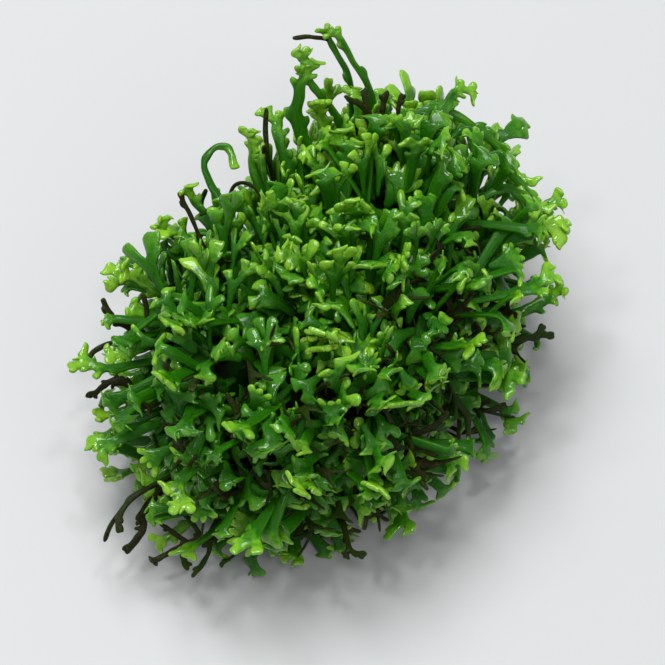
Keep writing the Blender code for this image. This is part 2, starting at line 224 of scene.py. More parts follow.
DARK_STRANDS = strands(
    ((-0.2, 17.3, 4.1), (-0.7, 17.4, 4.2), (-1.5, 17.5, 4.3), 0.14, 0.17, 0, 0.9, 0.3, 31),
    ((-6.2, 7.9, 2.2), (-5.8, 8.8, 2.6), (-4.9, 8.8, 2.9), (-4.2, 8.0, 2.9), 0.13, 0.1, 0, 0.5, 0.3, 32),
    ((-7.6, 5.0, 1.6), (-8.2, 6.4, 1.7), (-8.7, 7.5, 1.8), 0.14, 0.15, 0, 1.0, 0.3, 33),
    ((-10.8, -0.6, 1.6), (-12.0, 0.2, 1.8), (-12.9, 0.7, 1.9), (-13.3, 1.2, 2.0),
     0.26, 0.2, 0, 1.0, 0.3, 34),
    ((-10.4, -0.4, 2.2), (-11.0, 0.8, 2.4), (-11.1, 1.4, 2.4), 0.24, 0.18, 0, 0.9, 0.3, 35),
    ((-11.2, -3.4, 2.0), (-12.4, -3.0, 2.1), (-13.2, -2.9, 2.1), (-13.8, -3.3, 2.1),
     0.28, 0.24, 1, 0.9, 0.3, 36),
    ((-10.2, -9.4, 2.5), (-11.3, -10.7, 2.5), (-11.2, -11.6, 2.5), (-11.7, -12.4, 2.5),
     0.26, 0.26, 0, 0.9, 0.3, 37),
    ((-3.8, -10.9, 2.7), (-6.1, -11.9, 2.8), (-7.8, -12.3, 2.8), (-8.6, -12.5, 2.8),
     0.26, 0.22, 0, 0.5, 0.35, 39),
    ((-7.6, -12.2, 2.8), (-8.4, -11.2, 3.0), (-9.1, -10.6, 3.1), 0.17, 0.15, 0, 0.6, 0.6, 38),
    ((-8.6, -12.5, 2.8), (-9.3, -12.0, 2.9), (-9.7, -11.7, 2.9), 0.18, 0.16, 0, 0.6, 0.65, 61),
    ((-8.6, -12.5, 2.8), (-9.5, -13.0, 2.8), (-10.1, -13.3, 2.8), 0.2, 0.19, 1, 0.8, 0.75, 62),
    ((-8.7, -12.5, 2.8), (-8.9, -13.2, 2.7), (-8.8, -13.7, 2.7), 0.21, 0.2, 0, 0.5, 0.6, 63),
    ((-7.2, -12.2, 2.8), (-7.4, -13.2, 2.6), (-7.9, -14.0, 2.5), 0.2, 0.17, 0, 0.7, 0.6, 64),
    ((-4.2, -12.0, 2.5), (-5.6, -13.1, 2.4), (-6.3, -13.6, 2.3), 0.11, 0.1, 0, 0.5, 0.6, 65),
    ((2.8, 12.2, 2.0), (3.0, 13.2, 2.4), (3.1, 13.8, 2.5), 0.17, 0.2, 0, 0.6, 0.3, 40),
    ((3.7, 12.2, 2.0), (3.9, 13.1, 2.3), (4.0, 13.6, 2.4), 0.15, 0.17, 0, 0.6, 0.3, 41),
)

# Broad lobed leaves that lie bright on the cushion: the foot's way from the heart in degrees,
# how far the leaf lies over and the turn it lies towards (0 is up in the picture, 90 right),
# its length in mm, its number of lobes, and its tone from 0 to 1
Leaf = namedtuple("Leaf", "foot lean turn length lobes tone seed")
LEAVES = (
    Leaf((-103, -5), 62, -98, 3.5, 6, 0.93, 1),
    Leaf((-98, -8), 60, 5, 2.5, 4, 0.90, 2),
    Leaf((-52, 48), 50, -40, 1.7, 3, 0.95, 3),
    Leaf((60, 80), 60, -25, 1.9, 3, 0.80, 4),
    Leaf((-90, 32), 58, 5, 1.9, 4, 0.92, 5),
    Leaf((-120, 32), 60, 30, 1.7, 3, 0.85, 6),
    Leaf((-150, 34), 60, -30, 1.9, 4, 0.82, 7),
    Leaf((30, 54), 62, 10, 2.1, 4, 0.88, 8),
    Leaf((44, 40), 58, 40, 2.1, 4, 0.95, 9),
    Leaf((-135, 42), 55, -60, 1.5, 3, 0.75, 10),
    Leaf((-102, 50), 60, 60, 1.6, 3, 0.78, 11),
    Leaf((-165, 22), 55, -80, 1.8, 4, 0.90, 12),
    Leaf((-137, 12), 60, -120, 1.9, 4, 0.93, 13),
    Leaf((-125, 6), 58, 170, 1.8, 3, 0.88, 14),
    Leaf((14, 26), 55, 80, 2.2, 5, 0.96, 15),
    Leaf((-30, 30), 60, 60, 1.8, 4, 0.84, 16),
    Leaf((-60, 10), 60, 150, 1.6, 3, 0.86, 17),
    Leaf((90, 55), 60, -10, 1.9, 3, 0.86, 18),
    Leaf((120, 40), 58, -30, 1.8, 4, 0.82, 19),
    Leaf((170, 40), 60, -60, 1.6, 3, 0.72, 20),
)
LEAF_DEPTH = 0.3 * MM
LEAF_HALF_WIDTH = 0.42 * MM
LEAF_THICKNESS = (0.24, 0.3)
LEAF_CURL = (-0.5, -0.1)

# Where the thicket lies lower than the dome, so that the fronds there stand out
DIPS = (
    Bulge(148, 28, 20, -1.3),
    Bulge(-129, -5, 18, -0.9),
)

# How a drawn strand is finished
STRAND_ROOT = 2.0 * MM
STRAND_THICKNESS = (0.3, 0.38)
STRAND_TWIST = 0.5  # in radians, as a whole
STRAND_ROLL = 0.35  # in radians, to and fro along it
STRAND_LOBE_CHANCE = 0.5
STRAND_LOBES_FROM = 0.35  # of its length
STRAND_LOBES_OVER = 0.25  # foot width in mm
STRAND_START = 0.25  # its place along the skin at its foot
STRAND_END = 0.65  # and where its tip begins

# The shorter fronds round the foot of one that stands clear: how their foot and heading differ
# from its own in degrees, their length as a share of its own, and what they have for themselves
TUFT_SHOOTS = 4
TUFT_FOOT_TURN = (-12, 12)
TUFT_FOOT_LIFT = (-10, 10)
TUFT_TURN = (-55, 55)
TUFT_LIFT = (-28, 36)
TUFT_HIGHEST = 88
TUFT_LENGTH = (0.25, 0.75)
TUFT_BEND = (-140, -40)
TUFT_TWIST = (-60, 60)
TUFT_HALF_WIDTH = (0.34, 0.46)
TUFT_COLUMNS = (14, 60)

# How a blade is finished
BLADE_THICKNESS = 0.34 * MM
EDGE_SHARES = (0.7, 1.25)  # how uneven a blade's two edges are
FOOT_SHARE = 0.6  # width of a blade at its very foot, as a share of its strip's width
NARROW_FOOT = 0.45  # width of a blade near its foot, as a share of its width at the tips
TIP_NOTCHES = (0.85, 0.7, 0.55, 0.1, -0.1)  # from round to notched, as shares of the width
CRINKLE = 0.12 * MM
FORK_TILT = 0.35
LOBE_CHANCE = 0.3  # of a side lobe on each step of a strip
CLEAR_LOBE_CHANCE = 0.65
LOBE_REACH = (0.7, 1.3)
LOBE_SLANT = (0.5, 0.7)
LOBE_ALONG = 0.22
ROOT_LENGTH = 1.8 * MM  # of a clear frond's foot that runs on into the thicket
CLEAR_START = 0.3  # a clear frond's place along the skin where it leaves the thicket

# A leaf of rounded lobes side by side, as shares of its length and of its half width
FAN_STALK = 0.35
FAN_STALK_WIDTH = 0.7
FAN_SPREAD = (34, 50)  # degrees to either side
FAN_CROTCHES = 0.5
FAN_TIPS = 0.74
FAN_TIP_ENDS = (0.12, 0.88)
FAN_TIP_SPREAD = 1.06
FAN_BREADTH = 1.1
FAN_UNEVEN = (0.85, 1.15)
LOBED_FAN_CHANCE = 0.5  # of a blade of the fan habit to be such a leaf

# The skin map: tones side by side in columns, a blade's two faces within a column and its
# walls round them
SKIN_MAP = "OFBake"
SKIN_COLUMNS = 64
SKIN_HALF_WIDTH = 0.36
SKIN_FOOT = 0.04
SKIN_LENGTH = 0.86
SKIN_WALL = 0.09

# The blades of the thicket. A kind is a habit with its choice of forks and its ranges of half
# width and length in mm and of bend in degrees. A set's thickness is in mm, and its steps are
# those of a forked strip
BladeSet = namedtuple("BladeSet", "count seed length_share kinds thickness steps")
MOSS_KINDS = (
    (ROUND_HABIT, (1, 1), (0.42, 0.56), (1.5, 2.2), (30, 110)),
    (FAN_HABIT, (1, 1), (0.40, 0.54), (1.5, 2.1), (30, 110)),
    (ANTLER_HABIT, (1, 2), (0.36, 0.48), (1.3, 1.8), (30, 110)),
    (STRAP_HABIT, (0, 1), (0.46, 0.62), (1.8, 2.4), (30, 110)),
    (ROUND_HABIT, (1, 2), (0.42, 0.54), (1.4, 1.9), (30, 110)),
)
SMALL_KINDS = (
    (ROUND_HABIT, (1, 1), (0.42, 0.54), (1.8, 2.4), (40, 130)),
    (STRAP_HABIT, (0, 1), (0.44, 0.56), (1.8, 2.6), (40, 130)),
    (ROUND_HABIT, (1, 2), (0.40, 0.52), (1.8, 2.3), (40, 130)),
)
SLIM_KINDS = (
    (SLIM_HABIT, (1, 2), (0.27, 0.36), (2.0, 2.8), (-20, 50)),
    (SLIM_HABIT, (0, 1), (0.30, 0.42), (2.3, 3.3), (-20, 60)),
)
TWIG_KINDS = (
    (TWIG_HABIT, (1, 2), (0.14, 0.19), (1.2, 1.9), (20, 120)),
    (TWIG_HABIT, (0, 1), (0.15, 0.21), (1.7, 2.4), (60, 160)),
)
BLADE_SETS = {
    "deep_blades": BladeSet(24, 59, 1.0, MOSS_KINDS, (0.2, 0.3), 1),
    "long_blades": BladeSet(44, 71, 1.0, MOSS_KINDS, (0.28, 0.40), 2),
    "short_blades": BladeSet(40, 37, 0.85, MOSS_KINDS, (0.28, 0.40), 2),
    "small_blades": BladeSet(32, 29, 0.7, SMALL_KINDS, (0.28, 0.40), 2),
    "slim_blades": BladeSet(30, 53, 1.0, SLIM_KINDS, (0.22, 0.32), 2),
    "twig_blades": BladeSet(24, 83, 1.0, TWIG_KINDS, (0.18, 0.26), 1),
}

# The layers of the thicket: the depth of their roots under the dome in mm, the side they keep
# to (-1 left, 1 right, 0 both), their blades, whether they are old, and what they change in
# thicket_tree
SIDE_LAYER = {
    "Spacing": 1.15 * MM, "Oldest Tone": 0.05, "Freshest Tone": 0.85, "Gap Share": 0.85,
    "Least Lean": 0.2, "Most Lean": 0.9, "Face Up": 0.9, "Favoured Way": (0.0, -0.87, -0.5),
    "None Below": -0.7, "All Above": -0.4, "Favour": 0.5}
LAYERS = (
    # the deepest layer's low, dark tones are painted shade of the thicket's depths
    ("deep_fronds", 2.3, 0, "deep_blades", False, {
        "Spacing": 1.15 * MM, "Oldest Tone": 0.08, "Freshest Tone": 0.35, "Most Lean": 1.2,
        "Hollow Share": 0.0, "Seed": 3}),
    ("left_fronds", 2.0, -1, "long_blades", False, {**SIDE_LAYER, "Seed": 5}),
    ("right_fronds", 2.0, 1, "long_blades", False, {**SIDE_LAYER, "Seed": 7}),
    ("outer_fronds", 1.2, 0, "short_blades", False, {
        "Spacing": 1.2 * MM, "Oldest Tone": 0.2, "Freshest Tone": 1.0, "Gap Share": 1.0,
        "Least Lean": 0.3, "Most Lean": 1.0, "Face Up": 0.9, "Favoured Way": (0.0, -0.87, 0.5),
        "Favour": 0.8, "Seed": 9}),
    ("small_fronds", 0.5, 0, "small_blades", False, {
        "Spacing": 1.15 * MM, "Oldest Tone": 0.2, "Freshest Tone": 1.0, "Gap Share": 1.0,
        "Least Lean": 0.3, "Most Lean": 1.1, "Face Up": 0.9, "Favoured Way": (-0.5, -0.75, 0.43),
        "Favour": 0.85, "Seed": 13}),
    ("back_fronds", 1.1, 0, "slim_blades", False, {
        "Spacing": 0.8 * MM, "Oldest Tone": 0.2, "Freshest Tone": 0.9, "Least Lean": 0.0,
        "Most Lean": 0.45, "Twist": 0.8, "Pull": 2.0, "Pull Way": (0.0, 0.75, 0.66),
        "Gap Share": 0.3, "Favour": 1.0, "Seed": 11}),
    ("old_growth", 1.2, 0, "twig_blades", True, {
        "Spacing": 0.85 * MM, "Least Lean": 0.5, "Most Lean": 1.3, "Twist": 3.0, "Pull": 0.0,
        "Oldest Tone": 0.0, "Freshest Tone": 0.7, "Favoured Way": (0.0, -0.99, 0.1),
        "Favour": 0.95, "Hollow Share": 0.0, "Seed": 17}),
)
BLADES_PER_AREA = 4.0e6  # at most, on a square metre
GAP_REACH = 0.010  # from the heart, where the noise's gaps are as wide as Gap Size says
GAP_EDGE = (0.43, 0.5)  # of the noise that leaves gaps between the tufts

# The surfaces that the layers are planted on, and the heart: their lumps
LUMP_COUNT = 60
LUMP_SPREAD = 17  # in degrees
LAYER_LUMPS = 0.45 * MM
LAYER_SEED = 8
HEART_DEPTH = 3.4 * MM
HEART_LUMPS = 0.5 * MM
HEART_SEED = 3

# What is lower than this is pressed flat towards the floor
CLEAR_PRESS = 0.5 * MM
THICKET_PRESS = 1.0 * MM

# The picture, the camera and the room
PICTURE_MIDDLE = Vector((0.0, 0.0, 7.2 * MM))
PICTURE_UP = Vector((0.0, 0.866, 0.5))
TOWARDS_EYE = Vector((0.0, -0.5, 0.866))
CAMERA_ELEVATION = 60
CAMERA_DISTANCE = 0.25
CAMERA_LENS = 225
CAMERA_SENSOR = 36
FLOOR_RADIUS = 0.36
FLOOR_RISE = 0.44
FLOOR_TURNS = (0.08, 1.5, 18)
FLOOR_COLOUR = (0.52, 0.53, 0.535, 1)
WORLD_COLOUR = (0.99, 1.0, 1.0, 1)
WORLD_STRENGTH = 0.34
LIGHTS = (  # name, place, size and power
    ("key", (-0.05, 0.10, 0.30), 0.15, 0.82),
    ("fill", (0.16, -0.18, 0.22), 0.20, 0.12),
    ("glint_1", (0.05, 0.02, 0.34), 0.035, 0.16),
    ("glint_2", (-0.10, -0.04, 0.30), 0.035, 0.14),
    ("glint_3", (0.02, -0.14, 0.30), 0.035, 0.12),
)

# Kinds of node sockets
NUMBER = "NodeSocketFloat"
WHOLE_NUMBER = "NodeSocketInt"
VECTOR = "NodeSocketVector"
COLOUR = "NodeSocketColor"
SHAPE = "NodeSocketGeometry"


# ---------------------------------------------------------------- the dome and its directions


def direction(azimuth, elevation):
    turn, lift = math.radians(azimuth), math.radians(elevation)
    return Vector((math.cos(lift) * math.cos(turn), math.cos(lift) * math.sin(turn), math.sin(lift)))


def unit(rows):
    return rows / np.linalg.norm(rows, axis=1, keepdims=True)


def dome_reach(ways):
    """Distance from the heart to the smooth dome along each unit vector."""
    c, s = math.cos(LONG_SIDE_TURN), math.sin(LONG_SIDE_TURN)
    along = (ways[:, 0] * c + ways[:, 1] * s) / (CUSHION_LENGTH / 2)
    across = (ways[:, 1] * c - ways[:, 0] * s) / (CUSHION_BREADTH / 2)
    height = np.where(ways[:, 2] > 0, RISE_ABOVE_HEART, DROP_BELOW_HEART)
    upward = ways[:, 2] / height
    power = DOME_SQUARENESS
    total = (along**2 + across**2) ** (power / 2) + np.abs(upward) ** power
    reach = total ** (-1 / power)
    return reach + raised(ways, BULGES)


def nearness(ways, middle, spread):
    """1 along the middle, falling smoothly to 0 over some times the spread in degrees."""
    angle = np.arccos(np.clip(ways @ middle, -1, 1))
    return np.exp(-((angle / math.radians(spread)) ** 2))


def near_bulge(ways, bulge):
    return nearness(ways, np.array(direction(bulge.azimuth, bulge.elevation)), bulge.spread)


def raised(ways, bulges):
    rise = np.zeros(len(ways))
    for bulge in bulges:
        rise = rise + bulge.rise * MM * near_bulge(ways, bulge)
    return rise


def hollowness(ways):
    """1 in the middle of a dark gap between the tufts, falling to 0 round it."""
    most = np.zeros(len(ways))
    for bulge in BULGES:
        if bulge.rise < HOLLOW_BELOW:
            most = np.maximum(most, near_bulge(ways, bulge))
    return most


def golden_spiral(count, lowest=-1.0):
    index = np.arange(count) + 0.5
    height = 1 - (1 - lowest) * index / count
    turn = index * math.pi * (3 - math.sqrt(5))
    flat = np.sqrt(1 - height**2)
    return np.stack([flat * np.cos(turn), flat * np.sin(turn), height], axis=1)


def on_dome(way, depth=0.0):
    return HEART + way * (float(dome_reach(np.array([way]))[0]) - depth)


def turned(vector, axis, angle):
    return (Matrix.Rotation(angle, 3, axis) @ vector).normalized()


# ---------------------------------------------------------------- meshes and objects


def shown(name, data):
    """A new object in the scene."""
    thing = bpy.data.objects.new(name, data)
    bpy.context.scene.collection.objects.link(thing)
    return thing


def mesh_of(bm, name):
    mesh = bpy.data.meshes.new(name)
    bm.to_mesh(mesh)
    bm.free()
    return mesh


def evaluated_mesh(thing, name):
    bpy.context.view_layer.update()
    ready = thing.evaluated_get(bpy.context.evaluated_depsgraph_get())
    mesh = bpy.data.meshes.new_from_object(ready)
    mesh.name = name
    return mesh


def soften_floor(mesh, height):
    """Presses whatever reaches below height flat towards the floor, without passing it."""
    co = np.empty(len(mesh.vertices) * 3, np.float32)
    mesh.vertices.foreach_get("co", co)
    z = co[2::3]
    low = z < height
    z[low] = height * np.exp(z[low] / height - 1)
    mesh.vertices.foreach_set("co", co)
    mesh.update()


def joined(name, meshes, material):
    """One object of many meshes, that doesn't pass the floor."""
    bm = bmesh.new()
    for mesh in meshes:
        bm.from_mesh(mesh)
    mesh = mesh_of(bm, name)
    mesh.materials.append(material)
    soften_floor(mesh, CLEAR_PRESS)
    return shown(name, mesh)


# ---------------------------------------------------------------- blades

Point = namedtuple("Point", "place facing across along rim")


class Blade:
    """A frond's flat ribbon while it grows: points with the way they face and their skin place.

    A skin place is across, from -1 to 1 over the width, and along, from 0 at the foot to 1 at
    the tips. rim is the way out of the ribbon over the skin at a point of its edge.
    """

    def __init__(self, thickness, steps=STEPS_PER_STRIP, lobe_chance=LOBE_CHANCE):
        self.thickness = thickness
        self.steps = steps
        self.lobe_chance = lobe_chance
        self.points = []
        self.faces = []

    def point(self, place, facing, across, along, rim):
        self.points.append(Point(place.copy(), facing.copy(), across, along, rim))
        return len(self.points) - 1

    def pair(self, place, reach, facing, along, shares=(1, 1)):
        """The left and the right point of the ribbon's two edges, a share of reach away."""
        return [self.point(place + reach * side * share, facing, side, along, (side, 0))
                for side, share in zip((-1, 1), shares)]


def strip_sections(place, heading, across, length, bend, sway, steps):
    sections = []
    for _ in range(steps):
        facing = heading.cross(across)
        heading = turned(heading, across, bend / steps)
        heading = turned(heading, facing, sway / steps)
        across = (across - heading * across.dot(heading)).normalized()
        place = place + heading * (length / steps)
        place.z = max(place.z, FLOOR_CLEARANCE)
        sections.append((place.copy(), heading.copy(), across.copy()))
    return sections


def grow_side_lobe(blade, finish, near, far, out, ahead, half_width, side):
    """A short rounded tooth on a strip's edge between two of its points."""
    reach = half_width * finish.uniform(*LOBE_REACH)
    tips = []
    for root, forward in zip((near, far), LOBE_SLANT):
        edge = blade.points[root]
        place = edge.place + out * reach + ahead * reach * forward
        tips.append(blade.point(place, edge.facing, 0.4 * side, min(edge.along + LOBE_ALONG, 1.0), (0, 1)))
    face = [near, far, tips[1], tips[0]]
    blade.faces.append(face if side < 0 else face[::-1])


def grow_strip(blade, rng, finish, habit, corners, place, heading, across, half_width, length, bend,
               forks, along):
    """Grows a strip from two corners, then its two children or its rounded tip.

    rng draws what the solids have too, and finish only what the looks add. along is how far
    along the skin the strip starts.
    """
    sections = strip_sections(place, heading, across, length, bend, rng.uniform(-SWAY, SWAY), blade.steps)
    left, right = corners
    step = (1 - along) / (forks + 1) / blade.steps
    for number, (middle, ahead, wide) in enumerate(sections):
        share = rng.uniform(*WIDTH_SHARES) * (NARROW_FOOT + (1 - NARROW_FOOT) * min(along * 1.5, 1.0))
        last = number == len(sections) - 1
        if last:
            share *= habit.fork_width if forks else finish.uniform(*habit.tip_widths)
        facing = ahead.cross(wide)
        along += step
        width = half_width * share
        edges = []
        for side in (-1, 1):
            out = wide * side * width * finish.uniform(*EDGE_SHARES)
            lift = facing * finish.uniform(-CRINKLE, CRINKLE)
            edges.append(blade.point(middle + out + lift, facing, side, along, (side, 0)))
        next_left, next_right = edges
        outline = [left, right, next_right, next_left]
        if last and forks:
            reach = half_width * finish.uniform(*habit.crotch)
            crotch = blade.point(middle + ahead * reach, facing, 0, along, (0, 1))
            outline.insert(3, crotch)
        elif last:
            notch = finish.choice(TIP_NOTCHES)
            outline.insert(3, blade.point(middle + ahead * width * notch, facing, 0, along, (0, 1)))
        blade.faces.append(outline)
        if finish.random() < blade.lobe_chance:
            side = finish.choice((-1, 1))
            near, far = (left, next_left) if side < 0 else (right, next_right)
            grow_side_lobe(blade, finish, near, far, wide * side, ahead, half_width, side)
        left, right = next_left, next_right
    if forks == 0:
        return
    place, heading, across = sections[-1]
    facing = heading.cross(across)
    leaning = rng.choice((-1, 1))
    for side, child_corners in ((-1, (left, crotch)), (1, (crotch, right))):
        angle = side * math.radians(habit.angle + rng.uniform(-1, 1) * habit.spread)
        child_heading = turned(heading, facing, angle)
        child_across = (across - child_heading * across.dot(child_heading)).normalized()
        child_half = half_width * habit.child_width
        child_length = length * rng.uniform(*(habit.leaning if side == leaning else habit.others))
        child_forks = forks - 1 if side == leaning or forks > 2 else 0
        start = place + across * side * half_width * habit.fork_width / 2
        child_across = turned(child_across, child_heading, finish.uniform(-FORK_TILT, FORK_TILT))
        grow_strip(blade, rng, finish, habit, child_corners, start, child_heading, child_across,
                   child_half, child_length, bend, child_forks, along)


def grow_fan(blade, rng, corners, place, heading, across, half_width, length, lobes, curl):
    """A short stalk that widens into a leaf of rounded lobes side by side."""
    facing = heading.cross(across)
    neck = place + heading * length * FAN_STALK
    left, right = corners
    near = blade.pair(neck, across * half_width * FAN_STALK_WIDTH, facing, 0.3)
    blade.faces.append([left, right, near[1], near[0]])
    spread = math.radians(rng.uniform(*FAN_SPREAD))

    def flat_spot(reach, angle):
        return neck + heading * reach * math.cos(angle) + across * reach * math.sin(angle) * FAN_BREADTH

    arc = []
    for number in range(lobes + 1):
        share = -1 + 2 * number / lobes
        reach = length * FAN_CROTCHES * rng.uniform(*FAN_UNEVEN)
        lift = facing * curl * (reach / length) ** 2 * length
        rim = (share, 0) if number in (0, lobes) else (0, 1)
        arc.append(blade.point(flat_spot(reach, share * spread) + lift, facing, share, 0.6, rim))
    blade.faces.append([near[0], near[1]] + arc[::-1])
    for number in range(lobes):
        tips = []
        for part in FAN_TIP_ENDS:
            share = -1 + 2 * (number + part) / lobes
            reach = length * FAN_TIPS * rng.uniform(*FAN_UNEVEN)
            lift = facing * (curl * (reach / length) ** 2 * length + rng.uniform(-CRINKLE, CRINKLE))
            place = flat_spot(reach, share * spread * FAN_TIP_SPREAD) + lift
            tips.append(blade.point(place, facing, share, 1.0, (0, 1)))
        blade.faces.append([arc[number], arc[number + 1], tips[1], tips[0]])


def blade_mesh(name, blade, rounding, column=None):
    """The ribbon as a closed, rounded blade with its skin map."""
    count = len(blade.points)
    half = blade.thickness / 2
    top = [p.place + p.facing * half for p in blade.points]
    under = [p.place - p.facing * half for p in blade.points]
    skin = [(0.5 + SKIN_HALF_WIDTH * p.across, SKIN_FOOT + SKIN_LENGTH * p.along) for p in blade.points]
    wall = [(u + SKIN_WALL * p.rim[0], v + SKIN_WALL * p.rim[1])
            for (u, v), p in zip(skin, blade.points)]
    faces, places = [], []
    directed = set()
    for face in blade.faces:
        faces.append(tuple(face))
        places += [skin[i] for i in face]
        faces.append(tuple(i + count for i in reversed(face)))
        places += [skin[i] for i in reversed(face)]
        directed.update(zip(face, face[1:] + face[:1]))
    for a, b in sorted(directed):
        if (b, a) not in directed:
            faces.append((b, a, a + count, b + count))
            places += [skin[b], skin[a], wall[a], wall[b]]
    mesh = bpy.data.meshes.new(name)
    mesh.from_pydata(top + under, [], faces)
    layer = mesh.uv_layers.new(name=SKIN_MAP)
    for corner, (u, v) in zip(layer.data, places):
        corner.uv = (u, v) if column is None else ((column + u) / SKIN_COLUMNS, v)
    thing = shown(name, mesh)
    smooth = thing.modifiers.new("rounding", "SUBSURF")
    smooth.levels = smooth.render_levels = rounding
    smooth.uv_smooth = "NONE"
    rounded = evaluated_mesh(thing, name)
    bpy.data.objects.remove(thing)
    rounded.polygons.foreach_set("use_smooth", [True] * len(rounded.polygons))
    return rounded


def column_of(tone):
    return int(tone * (SKIN_COLUMNS - 1))


# ---------------------------------------------------------------- fronds clear of the cushion


def spread_fronds():
    """The short ones, placed and shaped by the same draws as their solids."""
    rng = random.Random(SPREAD_SEED)
    placed = TALL_FRONDS + SHOULDER_FRONDS + SIDE_FRONDS + OLD_FRONDS
    feet = [on_dome(direction(*frond.foot)) for frond in placed]
    found = []
    for way in golden_spiral(SPREAD_TRIES, SPREAD_LOWEST):
        nudge = Vector(rng.uniform(-SPREAD_NUDGE, SPREAD_NUDGE) for _ in range(3))
        way = (Vector(way) + nudge).normalized()
        azimuth = math.degrees(math.atan2(way.y, way.x))
        elevation = math.degrees(math.asin(way.z))
        turn = azimuth + rng.uniform(*SPREAD_TURN)
        lift = max(elevation + rng.uniform(*SPREAD_LIFT), LOWEST_HEADING)
        length = rng.uniform(*SPREAD_LENGTH)
        bend = rng.uniform(*SPREAD_BEND)
        twist = rng.uniform(*SPREAD_TWIST)
        forks = rng.choice(SPREAD_FORKS)
        seed = rng.randrange(1000)
        spot = on_dome(way)
        if min((spot - other).length for other in feet) < FOOT_SPACING:
            continue
        feet.append(spot)
        name = f"short_frond_{len(found) + 1:02d}"
        found.append(Frond(name, (azimuth, elevation), (turn, lift), length, bend, twist, forks, seed))
    return found


def clear_frond(frond, column, habit, half_width, rounding=2):
    """One of the fronds that stand clear, rooted a little deeper than its solid."""
    rng = random.Random(frond.seed)
    finish = random.Random(frond.seed + 1000)
    way = direction(*frond.foot)
    heading = direction(*frond.heading)
    foot = on_dome(way, FOOT_DEPTH)
    level = heading.cross(Vector((0, 0, 1))).normalized()
    across = turned(level, heading, math.radians(frond.twist))
    inside = (FOOT_DEPTH + LOBE_RISE) / max(way.dot(heading), LEAST_RISE_SHARE)
    surface = foot + heading * inside
    length = frond.length * MM / (1 + FORK_LENGTH * frond.forks)
    bend = math.radians(frond.bend) / (1 + frond.forks)
    blade = Blade(BLADE_THICKNESS, lobe_chance=CLEAR_LOBE_CHANCE)
    facing = heading.cross(across)
    rows = []
    for place, along in ((foot - heading * ROOT_LENGTH, 0.0), (foot, 0.12), (surface, CLEAR_START)):
        share = FOOT_SHARE + (1 - FOOT_SHARE) * along / CLEAR_START
        rows.append(blade.pair(place, across * half_width * share, facing, along))
    for near, far in zip(rows, rows[1:]):
        blade.faces.append([near[0], near[1], far[1], far[0]])
    grow_strip(blade, rng, finish, habit, rows[-1], surface, heading, across, half_width,
               length, bend, frond.forks, CLEAR_START)
    return blade_mesh(frond.name, blade, rounding, column)


def smooth_line(points, steps=3):
    """The same line with steps places for each of its parts, rounded at its points."""
    ends = [2 * points[0] - points[1], *points, 2 * points[-1] - points[-2]]
    line = [points[0]]
    for before, here, there, after in zip(ends, ends[1:], ends[2:], ends[3:]):
        for number in range(1, steps + 1):
            t = number / steps
            line.append(0.5 * (
                2 * here + (there - before) * t
                + (2 * before - 5 * here + 4 * there - after) * t**2
                + (3 * here - before - 3 * there + after) * t**3))
    return line


def strand(name, drawn, habit):
    """A ribbon along a drawn line, rooted in the thicket and forked or rounded at its tip."""
    rng = random.Random(drawn.seed)
    points = [PICTURE_MIDDLE + (Vector((u, 0, 0)) + PICTURE_UP * v + TOWARDS_EYE * near) * MM
              for u, v, near in drawn.line]
    inward = (HEART - points[0]).normalized()
    if (on_dome(-inward) - points[0]).dot(inward) < STRAND_ROOT:  # else it springs from another
        points.insert(0, points[0] + inward * STRAND_ROOT)
    line = smooth_line(points)
    blade = Blade(rng.uniform(*STRAND_THICKNESS) * MM)
    twist = rng.uniform(-STRAND_TWIST, STRAND_TWIST)
    corners = None
    for number, place in enumerate(line):
        behind, beyond = line[max(number - 1, 0)], line[min(number + 1, len(line) - 1)]
        heading = (beyond - behind).normalized()
        facing = (TOWARDS_EYE - heading * TOWARDS_EYE.dot(heading)).normalized()
        facing = turned(facing, heading, twist + STRAND_ROLL * math.sin(number * 0.9 + drawn.seed))
        across = facing.cross(heading)
        share = number / (len(line) - 1)
        half_width = (drawn.foot_width + (drawn.tip_width - drawn.foot_width) * share) * MM
        along = STRAND_START + (STRAND_END - STRAND_START) * share
        shares = [rng.uniform(*EDGE_SHARES) for _ in range(2)]
        row = blade.pair(place, across * half_width, facing, along, shares)
        if corners:
            blade.faces.append([*corners, row[1], row[0]])
            lobed = rng.random() < STRAND_LOBE_CHANCE
            if lobed and share > STRAND_LOBES_FROM and drawn.foot_width > STRAND_LOBES_OVER:
                side = rng.choice((-1, 1))
                near, far = (corners[0], row[0]) if side < 0 else (corners[1], row[1])
                grow_side_lobe(blade, rng, near, far, across * side, heading, half_width, side)
        corners = row
    grow_strip(blade, rng, rng, habit, corners, line[-1], heading, across, drawn.tip_width * MM,
               drawn.tip_length * MM / (1 + FORK_LENGTH * drawn.forks), rng.uniform(-0.5, 0.2),
               drawn.forks, STRAND_END)
    return blade_mesh(name, blade, 2, column_of(drawn.tone))


def tuft(frond):
    """Shorter fronds round the foot of one that stands clear."""
    rng = random.Random(frond.seed + 500)
    (foot_turn, foot_lift), (turn, lift) = frond.foot, frond.heading
    shoots = []
    for number in range(TUFT_SHOOTS):
        shoot = Frond(
            f"{frond.name}_shoot_{number}",
            (foot_turn + rng.uniform(*TUFT_FOOT_TURN), foot_lift + rng.uniform(*TUFT_FOOT_LIFT)),
            (turn + rng.uniform(*TUFT_TURN), min(lift + rng.uniform(*TUFT_LIFT), TUFT_HIGHEST)),
            frond.length * rng.uniform(*TUFT_LENGTH), rng.uniform(*TUFT_BEND),
            rng.uniform(*TUFT_TWIST), 1, rng.randrange(1000))
        half_width = rng.uniform(*TUFT_HALF_WIDTH) * MM
        habit = rng.choice((ANTLER_HABIT, ROUND_HABIT, FAN_HABIT))
        shoots.append(clear_frond(shoot, rng.randint(*TUFT_COLUMNS), habit, half_width, 1))
    return shoots


